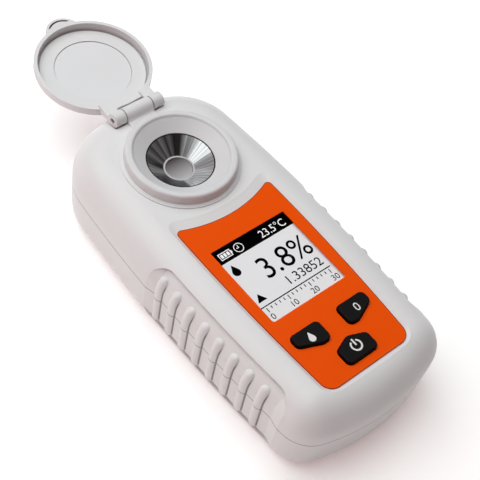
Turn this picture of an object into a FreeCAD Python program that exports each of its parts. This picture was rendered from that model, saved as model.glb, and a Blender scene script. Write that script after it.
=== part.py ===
"""Hand-held digital refractometer, lying on its back with the lid of the sample well open.

Frame: millimetres, +Z up out of the face, +Y towards the sample well, +X to the right when
the display is read. The origin is the middle of the flat back, on the surface that it lies on.
"""
import FreeCAD, Part
import Sketcher
import math
import os
import re

Vector = FreeCAD.Vector
Rotation = FreeCAD.Rotation
AXIS_X = Vector(1, 0, 0)
AXIS_Z = Vector(0, 0, 1)
LEFT = -1
RIGHT = 1

doc = FreeCAD.newDocument("Refractometer")
sheet = doc.addObject("Spreadsheet::Sheet", "Sizes")

SIZES = [
    ("case_length", 135.0, "overall length of the casing"),
    ("case_width", 66.0, "greatest width, across the grips"),
    ("case_height", 31.0, "flat back to flat face"),
    ("seam_height", 17.0, "parting line above the back"),
    ("wall", 2.4, "casing wall"),
    ("side_radius", 560.0, "bow of the long sides"),
    ("side_widest", -4.0, "where the sides are widest, along Y"),
    ("well_end_radius", 60.0, "bow of the end by the sample well"),
    ("key_end_radius", 75.0, "bow of the end by the keys"),
    ("well_corner", 21.8, "plan corner radius by the sample well"),
    ("key_corner", 11.4, "plan corner radius by the keys"),
    ("shoulder", 11.0, "rounding from the sides to the face"),
    ("back_edge", 6.5, "rounding from the sides to the back"),
    ("back_draft", 2.5, "taper of the lower shell, degrees"),
    ("grip_depth", 1.1, "depth of the scallop in each side"),
    ("grip_front", 9.2, "end of the scallop towards the well"),
    ("grip_back", -52.0, "end of the scallop towards the keys"),
    ("grip_low", 2.3, "lower border of the scallop"),
    ("grip_high", 29.0, "upper border of the scallop"),
    ("grip_corner", 6.5, "corner radius of the scallop"),
    ("grip_ramp", 3.8, "slope at each end of the scallop"),
    ("rib_count", 8, "finger ribs on each side"),
    ("rib_first", 3.9, "first rib, along Y"),
    ("rib_pitch", 6.67, "rib to rib"),
    ("rib_radius", 1.9, "rounding of a rib"),
    ("rib_low", 6.2, "lower end of a rib's middle line"),
    ("rib_high", 24.4, "upper end of a rib's middle line"),
    ("label_half_width", 19.5, "front label, half its width"),
    ("label_side_radius", 700.0, "bow of the label's sides"),
    ("label_widest", 2.0, "where the label is widest, along Y"),
    ("label_top", 10.2, "middle of the label's hollow top edge"),
    ("label_top_radius", 47.0, "radius of that hollow edge"),
    ("label_bottom", -56.3, "straight edge of the label"),
    ("label_corner", 4.4, "label corners by the keys"),
    ("label_tip", 1.5, "label corners by the well"),
    ("label_thickness", 0.3, "printed film"),
    ("recess_depth", 0.8, "label recess below the face"),
    ("recess_fit", 0.15, "gap round the label"),
    ("recess_side", 1.3, "slope beside the label"),
    ("recess_top", 3.5, "slope between the label and the well"),
    ("recess_bottom", 1.6, "slope below the label"),
    ("window_size", 30.2, "clear square in the label"),
    ("window_middle", -13.5, "middle of the display, along Y"),
    ("window_round", 0.8, "lower corners of the clear square"),
    ("window_border", 2.0, "window hidden under the label all round"),
    ("window_thickness", 0.8, "clear window"),
    ("aperture_border", 0.4, "casing opening past the clear square"),
    ("pocket_fit", 0.15, "gap round the window"),
    ("glass_border", 1.9, "display glass past the clear square"),
    ("raised_border", 0.2, "raised front of the display glass past the clear square"),
    ("glass_thickness", 1.6, "display glass"),
    ("frame_border", 2.4, "display frame past the clear square"),
    ("frame_thickness", 3.4, "display frame and back light"),
    ("key_rise", 1.2, "key tops above the label"),
    ("key_gap", 0.3, "gap round a key"),
    ("key_flange", 1.2, "hidden flange of a key"),
    ("flange_thickness", 1.3, "its thickness"),
    ("key_corner_radius", 1.8, "rounded corners of a key"),
    ("key_crown", 0.4, "rounded top edge of a key"),
    ("key_travel", 0.8, "how far a key goes down"),
    ("stem_radius", 2.6, "plunger below a key"),
    ("keys_inner", 3.95, "upper keys, edge next to the middle line"),
    ("keys_outer", 15.15, "upper keys, outer edge"),
    ("keys_upper", -35.5, "upper edge of the upper keys"),
    ("keys_lower", -42.8, "lower edge of the upper keys"),
    ("keys_shoulder", -39.7, "where the outer edge turns inwards"),
    ("keys_toe", 7.4, "outer end of the lower edge"),
    ("power_half_width", 6.1, "power key, half its width"),
    ("power_peak", -45.0, "its peak"),
    ("power_eaves", -47.3, "where its roof starts"),
    ("power_lower", -53.1, "its lower edge"),
    ("mat_gap", 0.3, "gap between the mat and a flange"),
    ("mat_foot", 1.2, "width of the rim that stands on the board"),
    ("switch_size", 6.0, "push switch body, square"),
    ("switch_height", 1.6, "push switch body"),
    ("plunger_radius", 1.7, "push switch plunger"),
    ("plunger_height", 0.8, "push switch plunger"),
    ("board_thickness", 1.6, "circuit board"),
    ("board_half_width", 17.5, "main board"),
    ("board_front", 11.4, "main board, end towards the well"),
    ("board_back", -57.0, "main board, end towards the keys"),
    ("board_screw_x", 14.4, "main board screws"),
    ("board_screw_front", 8.4, "upper pair of board screws, along Y"),
    ("board_screw_back", -53.6, "lower pair of board screws, along Y"),
    ("board_boss", 2.4, "boss for a board screw, radius"),
    ("small_shank", 1.0, "board and optics screws, radius"),
    ("small_head", 1.9, "their heads, radius"),
    ("small_head_height", 1.3, "their heads"),
    ("small_grip", 3.6, "their length in the boss"),
    ("screw_gap", 0.05, "radial gap between a screw and its hole"),
    ("case_screw_gap", 0.7, "main board to the bosses of the casing screws beside it"),
    ("case_screw_back", -44.0, "casing screws by the keys, along Y"),
    ("case_screw_well_x", 20.0, "casing screws by the well"),
    ("case_screw_front", 45.0, "casing screws by the well, along Y"),
    ("case_boss", 3.4, "boss for a casing screw, radius"),
    ("case_shank", 1.25, "casing screw, radius"),
    ("case_head", 2.2, "casing screw head, radius"),
    ("case_head_height", 1.6, "casing screw head"),
    ("case_grip", 6.0, "casing screw in the upper shell"),
    ("counterbore", 2.6, "hole for a casing screw head, radius"),
    ("counterbore_depth", 4.2, "its depth from the back"),
    ("seal_outer", 1.6, "casing seal, inset from the outside"),
    ("seal_height", 1.6, "casing seal"),
    ("well_middle", 35.7, "middle of the sample well, along Y"),
    ("well_spigot", 16.6, "collar below the face, radius"),
    ("spigot_fit", 0.1, "radial gap round the collar"),
    ("collar_base", 20.0, "collar flange, radius"),
    ("collar_step", 0.35, "collar flange above the face"),
    ("collar_rim", 18.4, "collar rim, outer radius"),
    ("collar_height", 4.0, "collar rim above the face"),
    ("collar_mouth", 16.3, "inner edge of the rim, radius"),
    ("collar_depth", 3.2, "collar spigot below the face"),
    ("cup_rim", 11.1, "steel cup, inner radius at its rim"),
    ("cup_lip", 0.25, "rim of the cup"),
    ("cup_flange", 14.4, "steel cup flange, radius"),
    ("cup_wall", 0.8, "steel"),
    ("cup_depth", 4.2, "rim of the cup to its foot"),
    ("cup_hole", 4.6, "hole in the foot for the prism, radius"),
    ("cup_foot", 6.3, "foot of the cup, radius"),
    ("prism_face", 4.45, "round top of the prism, radius"),
    ("prism_sink", 0.25, "prism face below the foot of the cup"),
    ("prism_half_width", 5.0, "prism block across X"),
    ("prism_half_length", 7.0, "prism block at its top, along Y"),
    ("prism_height", 6.0, "prism block"),
    ("prism_fit", 0.1, "gap round the prism"),
    ("seal_ring_wire", 0.45, "prism seal, section radius"),
    ("optics_half_width", 10.0, "optics block across X"),
    ("optics_half_length", 18.0, "optics block along Y"),
    ("optics_shoulder", 6.8, "straight end of the optics block"),
    ("optics_height", 17.8, "optics block"),
    ("optics_flange", 2.0, "flange of the optics block"),
    ("tunnel_radius", 2.7, "light tunnels"),
    ("optics_screw_x", 15.4, "optics screws by the display"),
    ("optics_screw_back", 22.4, "optics screws by the display, along Y"),
    ("optics_ear", 3.0, "flange round an optics screw"),
    ("lamp_radius", 2.5, "light source"),
    ("lamp_length", 5.2, "light source, with its dome"),
    ("lens_thickness", 1.6, "condenser lens"),
    ("lens_place", 6.2, "condenser lens in front of its board"),
    ("lens_seat", 0.03, "radial gap round the lens"),
    ("optic_board_width", 16.0, "lamp and sensor boards across X"),
    ("optic_board_length", 12.0, "lamp and sensor boards up the slope"),
    ("optic_board", 1.2, "their thickness"),
    ("sensor_width", 9.0, "image sensor across X"),
    ("sensor_length", 4.0, "image sensor up the slope"),
    ("sensor_height", 1.6, "image sensor"),
    ("thermistor_radius", 0.9, "temperature sensor bead"),
    ("hinge_middle", 59.8, "lid hinge axis, along Y"),
    ("hinge_rise", 1.4, "lid hinge axis above the face"),
    ("hinge_length", 19.6, "both lid knuckles and the middle barrel"),
    ("barrel_length", 10.6, "middle barrel of the casing"),
    ("barrel_radius", 2.5, "hinge knuckles"),
    ("barrel_gap", 0.15, "gap beside the middle barrel"),
    ("pocket_gap", 0.45, "gap under the lid knuckles"),
    ("pin_radius", 1.0, "hinge pin"),
    ("pin_fit", 0.05, "radial running gap on the hinge pin"),
    ("pin_recess", 0.6, "pin ends below the knuckle ends"),
    ("lid_open", 178.0, "lid angle from closed, degrees"),
    ("lid_radius", 20.1, "lid, outer radius"),
    ("lid_wall", 1.25, "lid wall"),
    ("lid_lip", 0.7, "lid lip above the hinge axis when closed"),
    ("lid_floor", 3.6, "lid floor above the hinge axis when closed"),
    ("lid_plate", 1.35, "lid top"),
    ("lid_edge", 1.9, "rounded edge of the lid"),
    ("lid_groove", 0.8, "groove round the lid floor, depth"),
    ("lid_pad", 18.1, "raised lid floor, radius"),
    ("liner_radius", 13.1, "liner in the lid"),
    ("liner_thickness", 0.5, "liner in the lid"),
    ("liner_sink", 0.3, "liner below the lid floor"),
    ("web_edge", 4.2, "lid web, distance from the hinge axis"),
    ("arm_thickness", 2.5, "lid arms and web"),
    ("tab_reach", 16.9, "middle of the thumb tab from the lid's middle"),
    ("tab_radius", 6.5, "thumb tab"),
    ("tab_thickness", 1.6, "thumb tab"),
    ("slit_radius", 5.3, "arc slit in the thumb tab"),
    ("slit_width", 0.55, "arc slit"),
    ("slit_depth", 1.0, "arc slit"),
    ("cell_radius", 5.25, "dry cell, size AAA"),
    ("cell_length", 44.5, "dry cell with its nub"),
    ("nub_radius", 1.9, "dry cell nub"),
    ("nub_length", 0.8, "dry cell nub"),
    ("cell_gap", 0.3, "gap round a cell"),
    ("bay_front", -9.0, "battery bay, end towards the well"),
    ("bay_wall", 1.5, "battery bay walls"),
    ("rail_width", 2.6, "thickened foot of the bay walls"),
    ("rail_height", 1.8, "height of that foot above the door"),
    ("door_thickness", 2.2, "battery door"),
    ("door_gap", 0.15, "gap round the battery door"),
    ("door_lap", 1.0, "door past the bay opening, each side"),
    ("tongue_width", 1.1, "door tongue in its groove"),
    ("tongue_height", 1.1, "door tongue"),
    ("door_front", -7.0, "battery door, end towards the well"),
    ("notch_count", 5, "thumb notches in the door"),
    ("notch_pitch", 1.8, "thumb notches"),
    ("notch_radius", 0.5, "thumb notches"),
    ("notch_half_width", 7.0, "thumb notches"),
    ("contact_thickness", 0.4, "battery contact plates"),
    ("contact_height", 8.0, "battery contact plates"),
    ("contact_half_width", 4.0, "battery contact plates"),
    ("spring_radius", 2.6, "contact spring"),
    ("spring_wire", 0.35, "contact spring wire, radius"),
    ("spring_length", 4.0, "contact spring, pressed by its cell"),
    ("spring_turns", 3, "contact spring"),
    ("spring_runs", 12, "straight runs in one turn of the spring"),
    ("tail_width", 2.0, "contact tail up to the main board"),
    ("buzzer_radius", 4.5, "sounder"),
    ("buzzer_height", 2.4, "sounder"),
    ("chip_size", 9.0, "processor, square"),
    ("chip_height", 1.2, "processor"),
    ("port_length", 8.0, "ribbon socket across X"),
    ("port_width", 2.6, "ribbon socket along Y"),
    ("port_height", 2.0, "ribbon socket"),
    ("ribbon_width", 6.0, "flat ribbon"),
    ("ribbon_thickness", 0.25, "flat ribbon"),
]

SHEET_NAMES = [row[0] for row in SIZES]
ALIAS = re.compile(r"\b(" + "|".join(sorted(SHEET_NAMES, key=len, reverse=True)) + r")\b")


def fill_sheet():
    """Write each driving size, its name and its note into one row of the sheet."""
    for row, (alias, number, note) in enumerate(SIZES, start=1):
        sheet.set(f"A{row}", alias)
        sheet.set(f"B{row}", str(number))
        sheet.set(f"C{row}", note)
        sheet.setAlias(f"B{row}", alias)
    doc.recompute()


def expression(text):
    """A formula in plain size names, written for the sheet."""
    return ALIAS.sub(r"Sizes.\1", str(text))


def value(text):
    """The number that a formula in size names gives."""
    return float(sheet.evalExpression(expression(text)))


def bind(item, prop, text):
    """Tie a property of an object to a formula in size names."""
    item.setExpression(prop, expression(text))


fill_sheet()

CEILING = "(case_height - wall)"
RECESS_FLOOR = "(case_height - recess_depth)"
LABEL_FACE = f"({RECESS_FLOOR} + label_thickness)"
BOARD_TOP = f"({CEILING} - glass_thickness - frame_thickness)"
BOARD_UNDER = f"({BOARD_TOP} - board_thickness)"
HINGE_HEIGHT = "(case_height + hinge_rise)"
CUP_FOOT_UNDER = "(case_height - cup_depth - cup_wall)"
PRISM_TOP = "(case_height - cup_depth - prism_sink)"
BLOCK_TOP = CUP_FOOT_UNDER
PRISM_SHOULDER = f"({BLOCK_TOP} - 2 * seal_ring_wire)"
CELL_MIDDLE = "(door_thickness + cell_gap + cell_radius)"
BAY_HALF = "(2 * cell_radius + 1.5 * cell_gap)"
BAY_CEILING = f"({CELL_MIDDLE} + cell_radius + cell_gap)"
BAY_BACK = "(bay_front - cell_length - spring_length - 2 * contact_thickness - cell_gap)"
DOOR_HALF = f"({BAY_HALF} + door_lap)"
LID_TOP = "(lid_floor + lid_plate)"
LID_REACH = "(hinge_middle - well_middle)"


def new_body(label):
    """An empty body that carries one piece of the object."""
    body = doc.addObject("PartDesign::Body", label)
    body.Label = label
    return body


def sketch_on(body, name, plane="XY_Plane", offset="0"):
    """A sketch on one of the body's own planes, moved along that plane's normal."""
    sketch = body.newObject("Sketcher::SketchObject", f"{body.Name}_{name}")
    support = [item for item in body.Origin.OriginFeatures if item.Role == plane][0]
    sketch.AttachmentSupport = [(support, "")]
    sketch.MapMode = "FlatFace"
    bind(sketch, "AttachmentOffset.Base.z", offset)
    return sketch


def constrain(sketch, kind, *where, size=None):
    """Add a constraint, and tie its value to a formula when one is given."""
    if size is None:
        return sketch.addConstraint(Sketcher.Constraint(kind, *where))
    index = sketch.addConstraint(Sketcher.Constraint(kind, *where, value(size)))
    sketch.setExpression(f"Constraints[{index}]", expression(size))
    return index


def place_point(sketch, geometry, point, across, along):
    """Hold one point of a sketch at two formulas."""
    constrain(sketch, "DistanceX", -1, 1, geometry, point, size=across)
    constrain(sketch, "DistanceY", -1, 1, geometry, point, size=along)


def polygon(sketch, points):
    """A closed outline of straight lines, each corner held by two formulas."""
    places = [Vector(value(across), value(along), 0) for across, along in points]
    lines = []
    for start, end in zip(places, places[1:] + places[:1]):
        lines.append(sketch.addGeometry(Part.LineSegment(start, end), False))
    for line, (across, along) in zip(lines, points):
        place_point(sketch, line, 1, across, along)
    for line, following in zip(lines, lines[1:] + lines[:1]):
        constrain(sketch, "Coincident", line, 2, following, 1)


def circle(sketch, across, along, radius):
    """A circle held at its middle and by its radius."""
    middle = Vector(value(across), value(along), 0)
    ring = sketch.addGeometry(Part.Circle(middle, AXIS_Z, value(radius)), False)
    place_point(sketch, ring, 3, across, along)
    constrain(sketch, "Radius", ring, size=radius)


class Side:
    """One side of a rounded outline: a straight line or an arc of a circle."""

    def __init__(self, start, end, middle=None, radius=None, bulge=1):
        self.start = start
        self.end = end
        self.middle = middle
        self.radius = radius
        self.bulge = bulge

    def corner(self):
        return Vector(value(self.start[0]), value(self.start[1]), 0)

    def offset_curve(self, inset):
        """The line or circle that lies inset to the left of the direction of travel."""
        if self.radius is None:
            start = self.corner()
            end = Vector(value(self.end[0]), value(self.end[1]), 0)
            along = (end - start).normalize()
            left = Vector(-along.y, along.x, 0) * inset
            return ("line", start + left, along)
        middle = Vector(value(self.middle[0]), value(self.middle[1]), 0)
        return ("circle", middle, value(self.radius) - self.bulge * inset)


def crossings(first, second):
    """Points where two offset curves cross, each a line or a circle."""
    if first[0] == "circle" and second[0] == "line":
        first, second = second, first
    if first[0] == "line" and second[0] == "line":
        gap = second[1] - first[1]
        turn = first[2].x * second[2].y - first[2].y * second[2].x
        reach = (gap.x * second[2].y - gap.y * second[2].x) / turn
        return [first[1] + first[2] * reach]
    if first[0] == "line":
        foot = first[1] + first[2] * (second[1] - first[1]).dot(first[2])
        height = (second[1] - foot).Length
        half = math.sqrt(max(second[2] ** 2 - height ** 2, 0))
        return [foot + first[2] * half, foot - first[2] * half]
    gap = second[1] - first[1]
    apart = gap.Length
    along = gap / apart
    reach = (apart ** 2 + first[2] ** 2 - second[2] ** 2) / (2 * apart)
    half = math.sqrt(max(first[2] ** 2 - reach ** 2, 0))
    across = Vector(-along.y, along.x, 0)
    return [first[1] + along * reach + across * half, first[1] + along * reach - across * half]


def touch_point(middle, side):
    """Where a corner arc with this middle meets its side."""
    curve = side.offset_curve(0)
    if curve[0] == "line":
        return curve[1] + curve[2] * (middle - curve[1]).dot(curve[2])
    return curve[1] + (middle - curve[1]).normalize() * curve[2]


def arc_between(middle, radius, start, end, clockwise=False):
    """The arc of a circle from one point to another."""
    first = math.atan2(start.y - middle.y, start.x - middle.x)
    last = math.atan2(end.y - middle.y, end.x - middle.x)
    if clockwise:
        first, last = last, first
    return Part.ArcOfCircle(Part.Circle(middle, AXIS_Z, radius), first, last)


def rounded_outline(sketch, sides, radii):
    """A closed outline of sides, travelled anticlockwise, with a tangent arc at each corner.

    radii[i] rounds the corner where sides[i] starts.
    """
    count = len(sides)
    middles = []
    for index, side in enumerate(sides):
        before = sides[index - 1]
        radius = value(radii[index])
        places = crossings(before.offset_curve(radius), side.offset_curve(radius))
        middles.append(min(places, key=lambda place: (place - side.corner()).Length))
    pieces = []
    for index, side in enumerate(sides):
        start = touch_point(middles[index], side)
        end = touch_point(middles[(index + 1) % count], side)
        if side.radius is None:
            pieces.append((sketch.addGeometry(Part.LineSegment(start, end), False), 1, 2))
            continue
        middle = Vector(value(side.middle[0]), value(side.middle[1]), 0)
        hollow = side.bulge < 0
        arc = arc_between(middle, value(side.radius), start, end, clockwise=hollow)
        ends = (2, 1) if hollow else (1, 2)
        pieces.append((sketch.addGeometry(arc, False), *ends))
    corners = []
    for index, side in enumerate(sides):
        start = touch_point(middles[index], sides[index - 1])
        end = touch_point(middles[index], side)
        arc = arc_between(middles[index], value(radii[index]), start, end)
        corners.append(sketch.addGeometry(arc, False))
    for index, side in enumerate(sides):
        piece, first, last = pieces[index]
        constrain(sketch, "Tangent", corners[index], 2, piece, first)
        constrain(sketch, "Tangent", piece, last, corners[(index + 1) % count], 1)
        constrain(sketch, "Radius", corners[index], size=radii[index])
        if side.radius is not None:
            place_point(sketch, piece, 3, *side.middle)
            constrain(sketch, "Radius", piece, size=side.radius)
    straight = [index for index, side in enumerate(sides) if side.radius is None]
    points = {}
    for index in straight:
        for corner, place in ((index, sides[index].start), ((index + 1) % count, sides[index].end)):
            if corner not in points:
                spot = Vector(value(place[0]), value(place[1]), 0)
                points[corner] = sketch.addGeometry(Part.Point(spot), True)
                place_point(sketch, points[corner], 1, *place)
            constrain(sketch, "PointOnObject", points[corner], 1, pieces[index][0])


def rounded_polygon(sketch, points, radii):
    """A closed outline of straight lines with rounded corners, travelled anticlockwise."""
    following = points[1:] + points[:1]
    rounded_outline(sketch, [Side(start, end) for start, end in zip(points, following)], radii)


def pad(body, sketch, length, down=False, both=False, taper=None):
    """Raise a sketch into the body."""
    feature = body.newObject("PartDesign::Pad", f"{sketch.Name}_pad")
    feature.Profile = sketch
    feature.Reversed = down
    feature.Midplane = both
    bind(feature, "Length", length)
    if taper is not None:
        bind(feature, "TaperAngle", taper)
    sketch.Visibility = False
    return feature


def pocket(body, sketch, length, up=False, both=False):
    """Cut a sketch out of the body: downwards, upwards, or half each way."""
    feature = body.newObject("PartDesign::Pocket", f"{sketch.Name}_pocket")
    feature.Profile = sketch
    feature.Reversed = up
    feature.Midplane = both
    bind(feature, "Length", length)
    return feature


def revolve(body, sketch):
    """Turn a profile about the upright axis of its sketch."""
    feature = body.newObject("PartDesign::Revolution", f"{sketch.Name}_turn")
    feature.Profile = sketch
    feature.ReferenceAxis = (sketch, ["V_Axis"])
    feature.Angle = 360.0
    return feature


def loft(body, first, second):
    """A solid with straight rulings from one sketch to the other."""
    feature = body.newObject("PartDesign::AdditiveLoft", f"{body.Name}_loft")
    feature.Profile = first
    feature.Sections = [second]
    feature.Ruled = True
    return feature


def round_edges(body, feature, wanted, radius):
    """Round the edges of a feature that the test picks out."""
    doc.recompute()
    names = [f"Edge{index}" for index, edge in enumerate(feature.Shape.Edges, start=1) if wanted(edge)]
    rounded = body.newObject("PartDesign::Fillet", f"{feature.Name}_round")
    rounded.Base = (feature, names)
    bind(rounded, "Radius", radius)
    return rounded


def at_height(height):
    """A test for edges that lie wholly at one height."""
    level = value(height)

    def wanted(edge):
        box = edge.BoundBox
        return abs(box.ZMin - level) < 1e-4 and abs(box.ZMax - level) < 1e-4

    return wanted


def move(item, across="0", along="0", up="0"):
    """Place an object by three formulas."""
    bind(item, "Placement.Base.x", across)
    bind(item, "Placement.Base.y", along)
    bind(item, "Placement.Base.z", up)


def cylinder(name, radius, length, across="0", along="0", up="0", turn=None):
    """A round bar, upright unless it is turned."""
    item = doc.addObject("Part::Cylinder", name)
    bind(item, "Radius", radius)
    bind(item, "Height", length)
    if turn is not None:
        item.Placement = FreeCAD.Placement(Vector(), turn)
    move(item, across, along, up)
    return item


def block(name, left, right, back, front, low, high):
    """A box between six formulas."""
    item = doc.addObject("Part::Box", name)
    bind(item, "Length", f"({right}) - ({left})")
    bind(item, "Width", f"({front}) - ({back})")
    bind(item, "Height", f"({high}) - ({low})")
    move(item, left, back, low)
    return item


def fuse(name, items):
    """Several solids joined into one."""
    item = doc.addObject("Part::MultiFuse", name)
    item.Label = name
    item.Shapes = items
    item.Refine = True
    return item


def group(name, items):
    """Several like solids kept apart in one node."""
    item = doc.addObject("Part::Compound", name)
    item.Label = name
    item.Links = items
    return item


def cut(name, base, tool):
    """One solid less another."""
    item = doc.addObject("Part::Cut", name)
    item.Label = name
    item.Base = base
    item.Tool = tool
    item.Refine = True
    return item


def common(name, first, second):
    """What two solids share."""
    item = doc.addObject("Part::Common", name)
    item.Label = name
    item.Base = first
    item.Tool = second
    return item


ALONG_X = Rotation(Vector(0, 1, 0), 90)
ALONG_Y = Rotation(AXIS_X, -90)


def case_outline(sketch, inset):
    """Plan of the casing, inset all round: four bowed sides and four rounded corners."""
    half_length = f"(case_length / 2 - ({inset}))"
    half_width = f"(case_width / 2 - ({inset}))"
    side = f"(side_radius - ({inset}))"
    well_end = f"(well_end_radius - ({inset}))"
    key_end = f"(key_end_radius - ({inset}))"
    well_corner = f"(well_corner - ({inset}))"
    key_corner = f"(key_corner - ({inset}))"
    lower_left = (f"-{half_width}", f"-{half_length}")
    lower_right = (half_width, f"-{half_length}")
    upper_right = (half_width, half_length)
    upper_left = (f"-{half_width}", half_length)
    sides = [
        Side(lower_left, lower_right, ("0", f"{key_end} - {half_length}"), key_end),
        Side(lower_right, upper_right, (f"{half_width} - {side}", "side_widest"), side),
        Side(upper_right, upper_left, ("0", f"{half_length} - {well_end}"), well_end),
        Side(upper_left, lower_left, (f"{side} - {half_width}", "side_widest"), side),
    ]
    rounded_outline(sketch, sides, [key_corner, key_corner, well_corner, well_corner])


def upper_form(label, inset):
    """Upper half of the casing as a solid, inset all round, with its rounded shoulder."""
    body = new_body(label)
    sketch = sketch_on(body, "plan", offset="seam_height")
    case_outline(sketch, inset)
    solid = pad(body, sketch, f"case_height - seam_height - ({inset})")
    rounding = f"min(shoulder; key_corner - 0.2) - ({inset})"
    round_edges(body, solid, at_height(f"case_height - ({inset})"), rounding)
    return body


def lower_form(label, inset):
    """Lower half of the casing as a solid, inset all round, tapered towards its back."""
    body = new_body(label)
    sketch = sketch_on(body, "plan", offset="seam_height")
    case_outline(sketch, inset)
    depth = f"seam_height - ({inset})"
    solid = pad(body, sketch, depth, down=True, taper="-back_draft")
    round_edges(body, solid, at_height(inset), f"back_edge - ({inset})")
    return body


def half_width_at(along):
    """Half the width of the casing at a place along its length."""
    bow = value("side_radius")
    return value("case_width / 2") - bow + math.sqrt(bow ** 2 - (along - value("side_widest")) ** 2)


def rib_bar(along, side, upper):
    """One finger rib, a round bar that follows the side of the casing at one place."""
    radius = value("rib_radius")
    seam = value("seam_height")
    outside = half_width_at(along) - radius
    shoulder = value("shoulder")
    bend_height = value("case_height") - shoulder
    bend_radius = shoulder - radius
    bend_middle = Vector(side * (outside - bend_radius), along, bend_height)
    if not upper:
        low = value("rib_low")
        lean = (seam - low) * math.tan(math.radians(value("back_draft")))
        foot = Vector(side * (outside - lean), along, low)
        top = Vector(side * outside, along, seam)
        direction = (top - foot).normalize()
        spare = radius
        bar = Part.makeCylinder(radius, (top - foot).Length + spare, foot, direction)
        bar = bar.fuse(Part.makeSphere(radius, foot))
        slab = Part.makeBox(case_span(), case_span(), seam)
        slab.translate(Vector(-case_span() / 2, -case_span() / 2, 0))
        return bar.common(slab)
    reach = min(max((value("rib_high") - bend_height) / bend_radius, 0.05), 0.95)
    angle = math.asin(reach)
    start = Vector(side * outside, along, seam)
    bend_start = Vector(side * outside, along, bend_height)
    middle_turn = Vector(side * math.cos(angle / 2), 0, math.sin(angle / 2)) * bend_radius
    end_turn = Vector(side * math.cos(angle), 0, math.sin(angle)) * bend_radius
    arc = Part.Arc(bend_start, bend_middle + middle_turn, bend_middle + end_turn)
    path = Part.Wire([Part.makeLine(start, bend_start), arc.toShape()])
    ring = Part.Wire([Part.makeCircle(radius, start, AXIS_Z)])
    bar = path.makePipeShell([ring], True, True)
    return bar.fuse(Part.makeSphere(radius, bend_middle + end_turn))


def case_span():
    """A length well past the casing on every side."""
    return 2 * value("case_length + lid_radius")


def rib_bars(label, upper):
    """All finger ribs of one shell."""
    bars = []
    for number in range(int(value("rib_count"))):
        along = value("rib_first") - number * value("rib_pitch")
        for side in (LEFT, RIGHT):
            bars.append(rib_bar(along, side, upper))
    item = doc.addObject("Part::Feature", label)
    item.Shape = Part.makeCompound(bars)
    return item


def half_section(body, name, along, inset, upper):
    """Cross-section of one half of the casing at a place along it, inset all round."""
    sketch = sketch_on(body, name, "XZ_Plane", f"-({along})")
    half = f"({half_width_at(value(along))} - ({inset}))"
    if upper:
        high = f"case_height - ({inset})"
        low = "seam_height - 1"
        corners = [(f"-{half}", low), (half, low), (half, high), (f"-{half}", high)]
        rounding = f"min(shoulder; key_corner - 0.2) - ({inset})"
        rounded_polygon(sketch, corners, ["0.5", "0.5", rounding, rounding])
        return sketch
    lean = math.tan(math.radians(value("back_draft")))
    low_half = f"({half} - (seam_height - ({inset})) * {lean})"
    high_half = f"({half} + {lean})"
    high = "seam_height + 1"
    corners = [(f"-{low_half}", inset), (low_half, inset), (high_half, high), (f"-{high_half}", high)]
    rounding = f"back_edge - ({inset})"
    rounded_polygon(sketch, corners, [rounding, rounding, "0.5", "0.5"])
    return sketch


def grip_scallop(label, form, core, upper):
    """What the grips take off both sides of a form: down to its core, with a slope at each end."""
    slopes = []
    for tag, end, inwards in (("front", "grip_front", -1), ("back", "grip_back", 1)):
        slope = new_body(f"{label}_{tag}_slope")
        start = f"{end} - {inwards} * grip_ramp / 3"
        outer = half_section(slope, "outer", start, "-grip_depth / 3", upper)
        finish = f"{end} + {inwards} * grip_ramp * 4 / 3"
        inner = half_section(slope, "inner", finish, "grip_depth * 4 / 3", upper)
        loft(slope, outer, inner)
        slopes.append(slope)
    body = new_body(f"{label}_window")
    sketch = sketch_on(body, "side", "YZ_Plane")
    back, front = "grip_back - 0.3", "grip_front + 0.3"
    low, high = ("seam_height - 1", "grip_high") if upper else ("grip_low", "seam_height + 1")
    seam_corners, outer_corners = ["0.5"] * 2, ["grip_corner"] * 2
    radii = seam_corners + outer_corners if upper else outer_corners + seam_corners
    rounded_polygon(sketch, [(back, low), (front, low), (front, high), (back, high)], radii)
    pad(body, sketch, "case_width + 2 * wall", both=True)
    deep = cut(f"{label}_deep", body, core)
    room = cut(f"{label}_room", deep, fuse(f"{label}_slopes", slopes))
    return common(label, form, room)


def seam_ring(label, outer, inner, low, high):
    """A ring that follows the casing outline between two insets."""
    body = new_body(label)
    sketch = sketch_on(body, "ring", offset=low)
    case_outline(sketch, outer)
    case_outline(sketch, inner)
    pad(body, sketch, f"({high}) - ({low})")
    return body


def label_outline(sketch, side, top, bottom, corner, tip):
    """Plan of the front label, grown by three margins, with its hollow top edge."""
    half = f"(label_half_width + ({side}))"
    bow = f"(label_side_radius + ({side}))"
    hollow = f"(label_top_radius - ({top}))"
    low = f"(label_bottom - ({bottom}))"
    drop = value(f"{half} - {bow}")
    foot = value("label_widest") - value(low)
    low_half = drop + math.sqrt(value(bow) ** 2 - foot ** 2)
    top_rise = value("label_top_radius") - math.sqrt(value(hollow) ** 2 - value(half) ** 2)
    peak = value("label_top") + top_rise
    low_left = (str(-low_half), low)
    low_right = (str(low_half), low)
    top_right = (half, str(peak))
    top_left = (f"-{half}", str(peak))
    sides = [
        Side(low_left, low_right),
        Side(low_right, top_right, (f"{half} - {bow}", "label_widest"), bow),
        Side(top_right, top_left, ("0", "label_top + label_top_radius"), hollow, bulge=-1),
        Side(top_left, low_left, (f"{bow} - {half}", "label_widest"), bow),
    ]
    rounded_outline(sketch, sides, [corner, corner, tip, tip])


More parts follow.
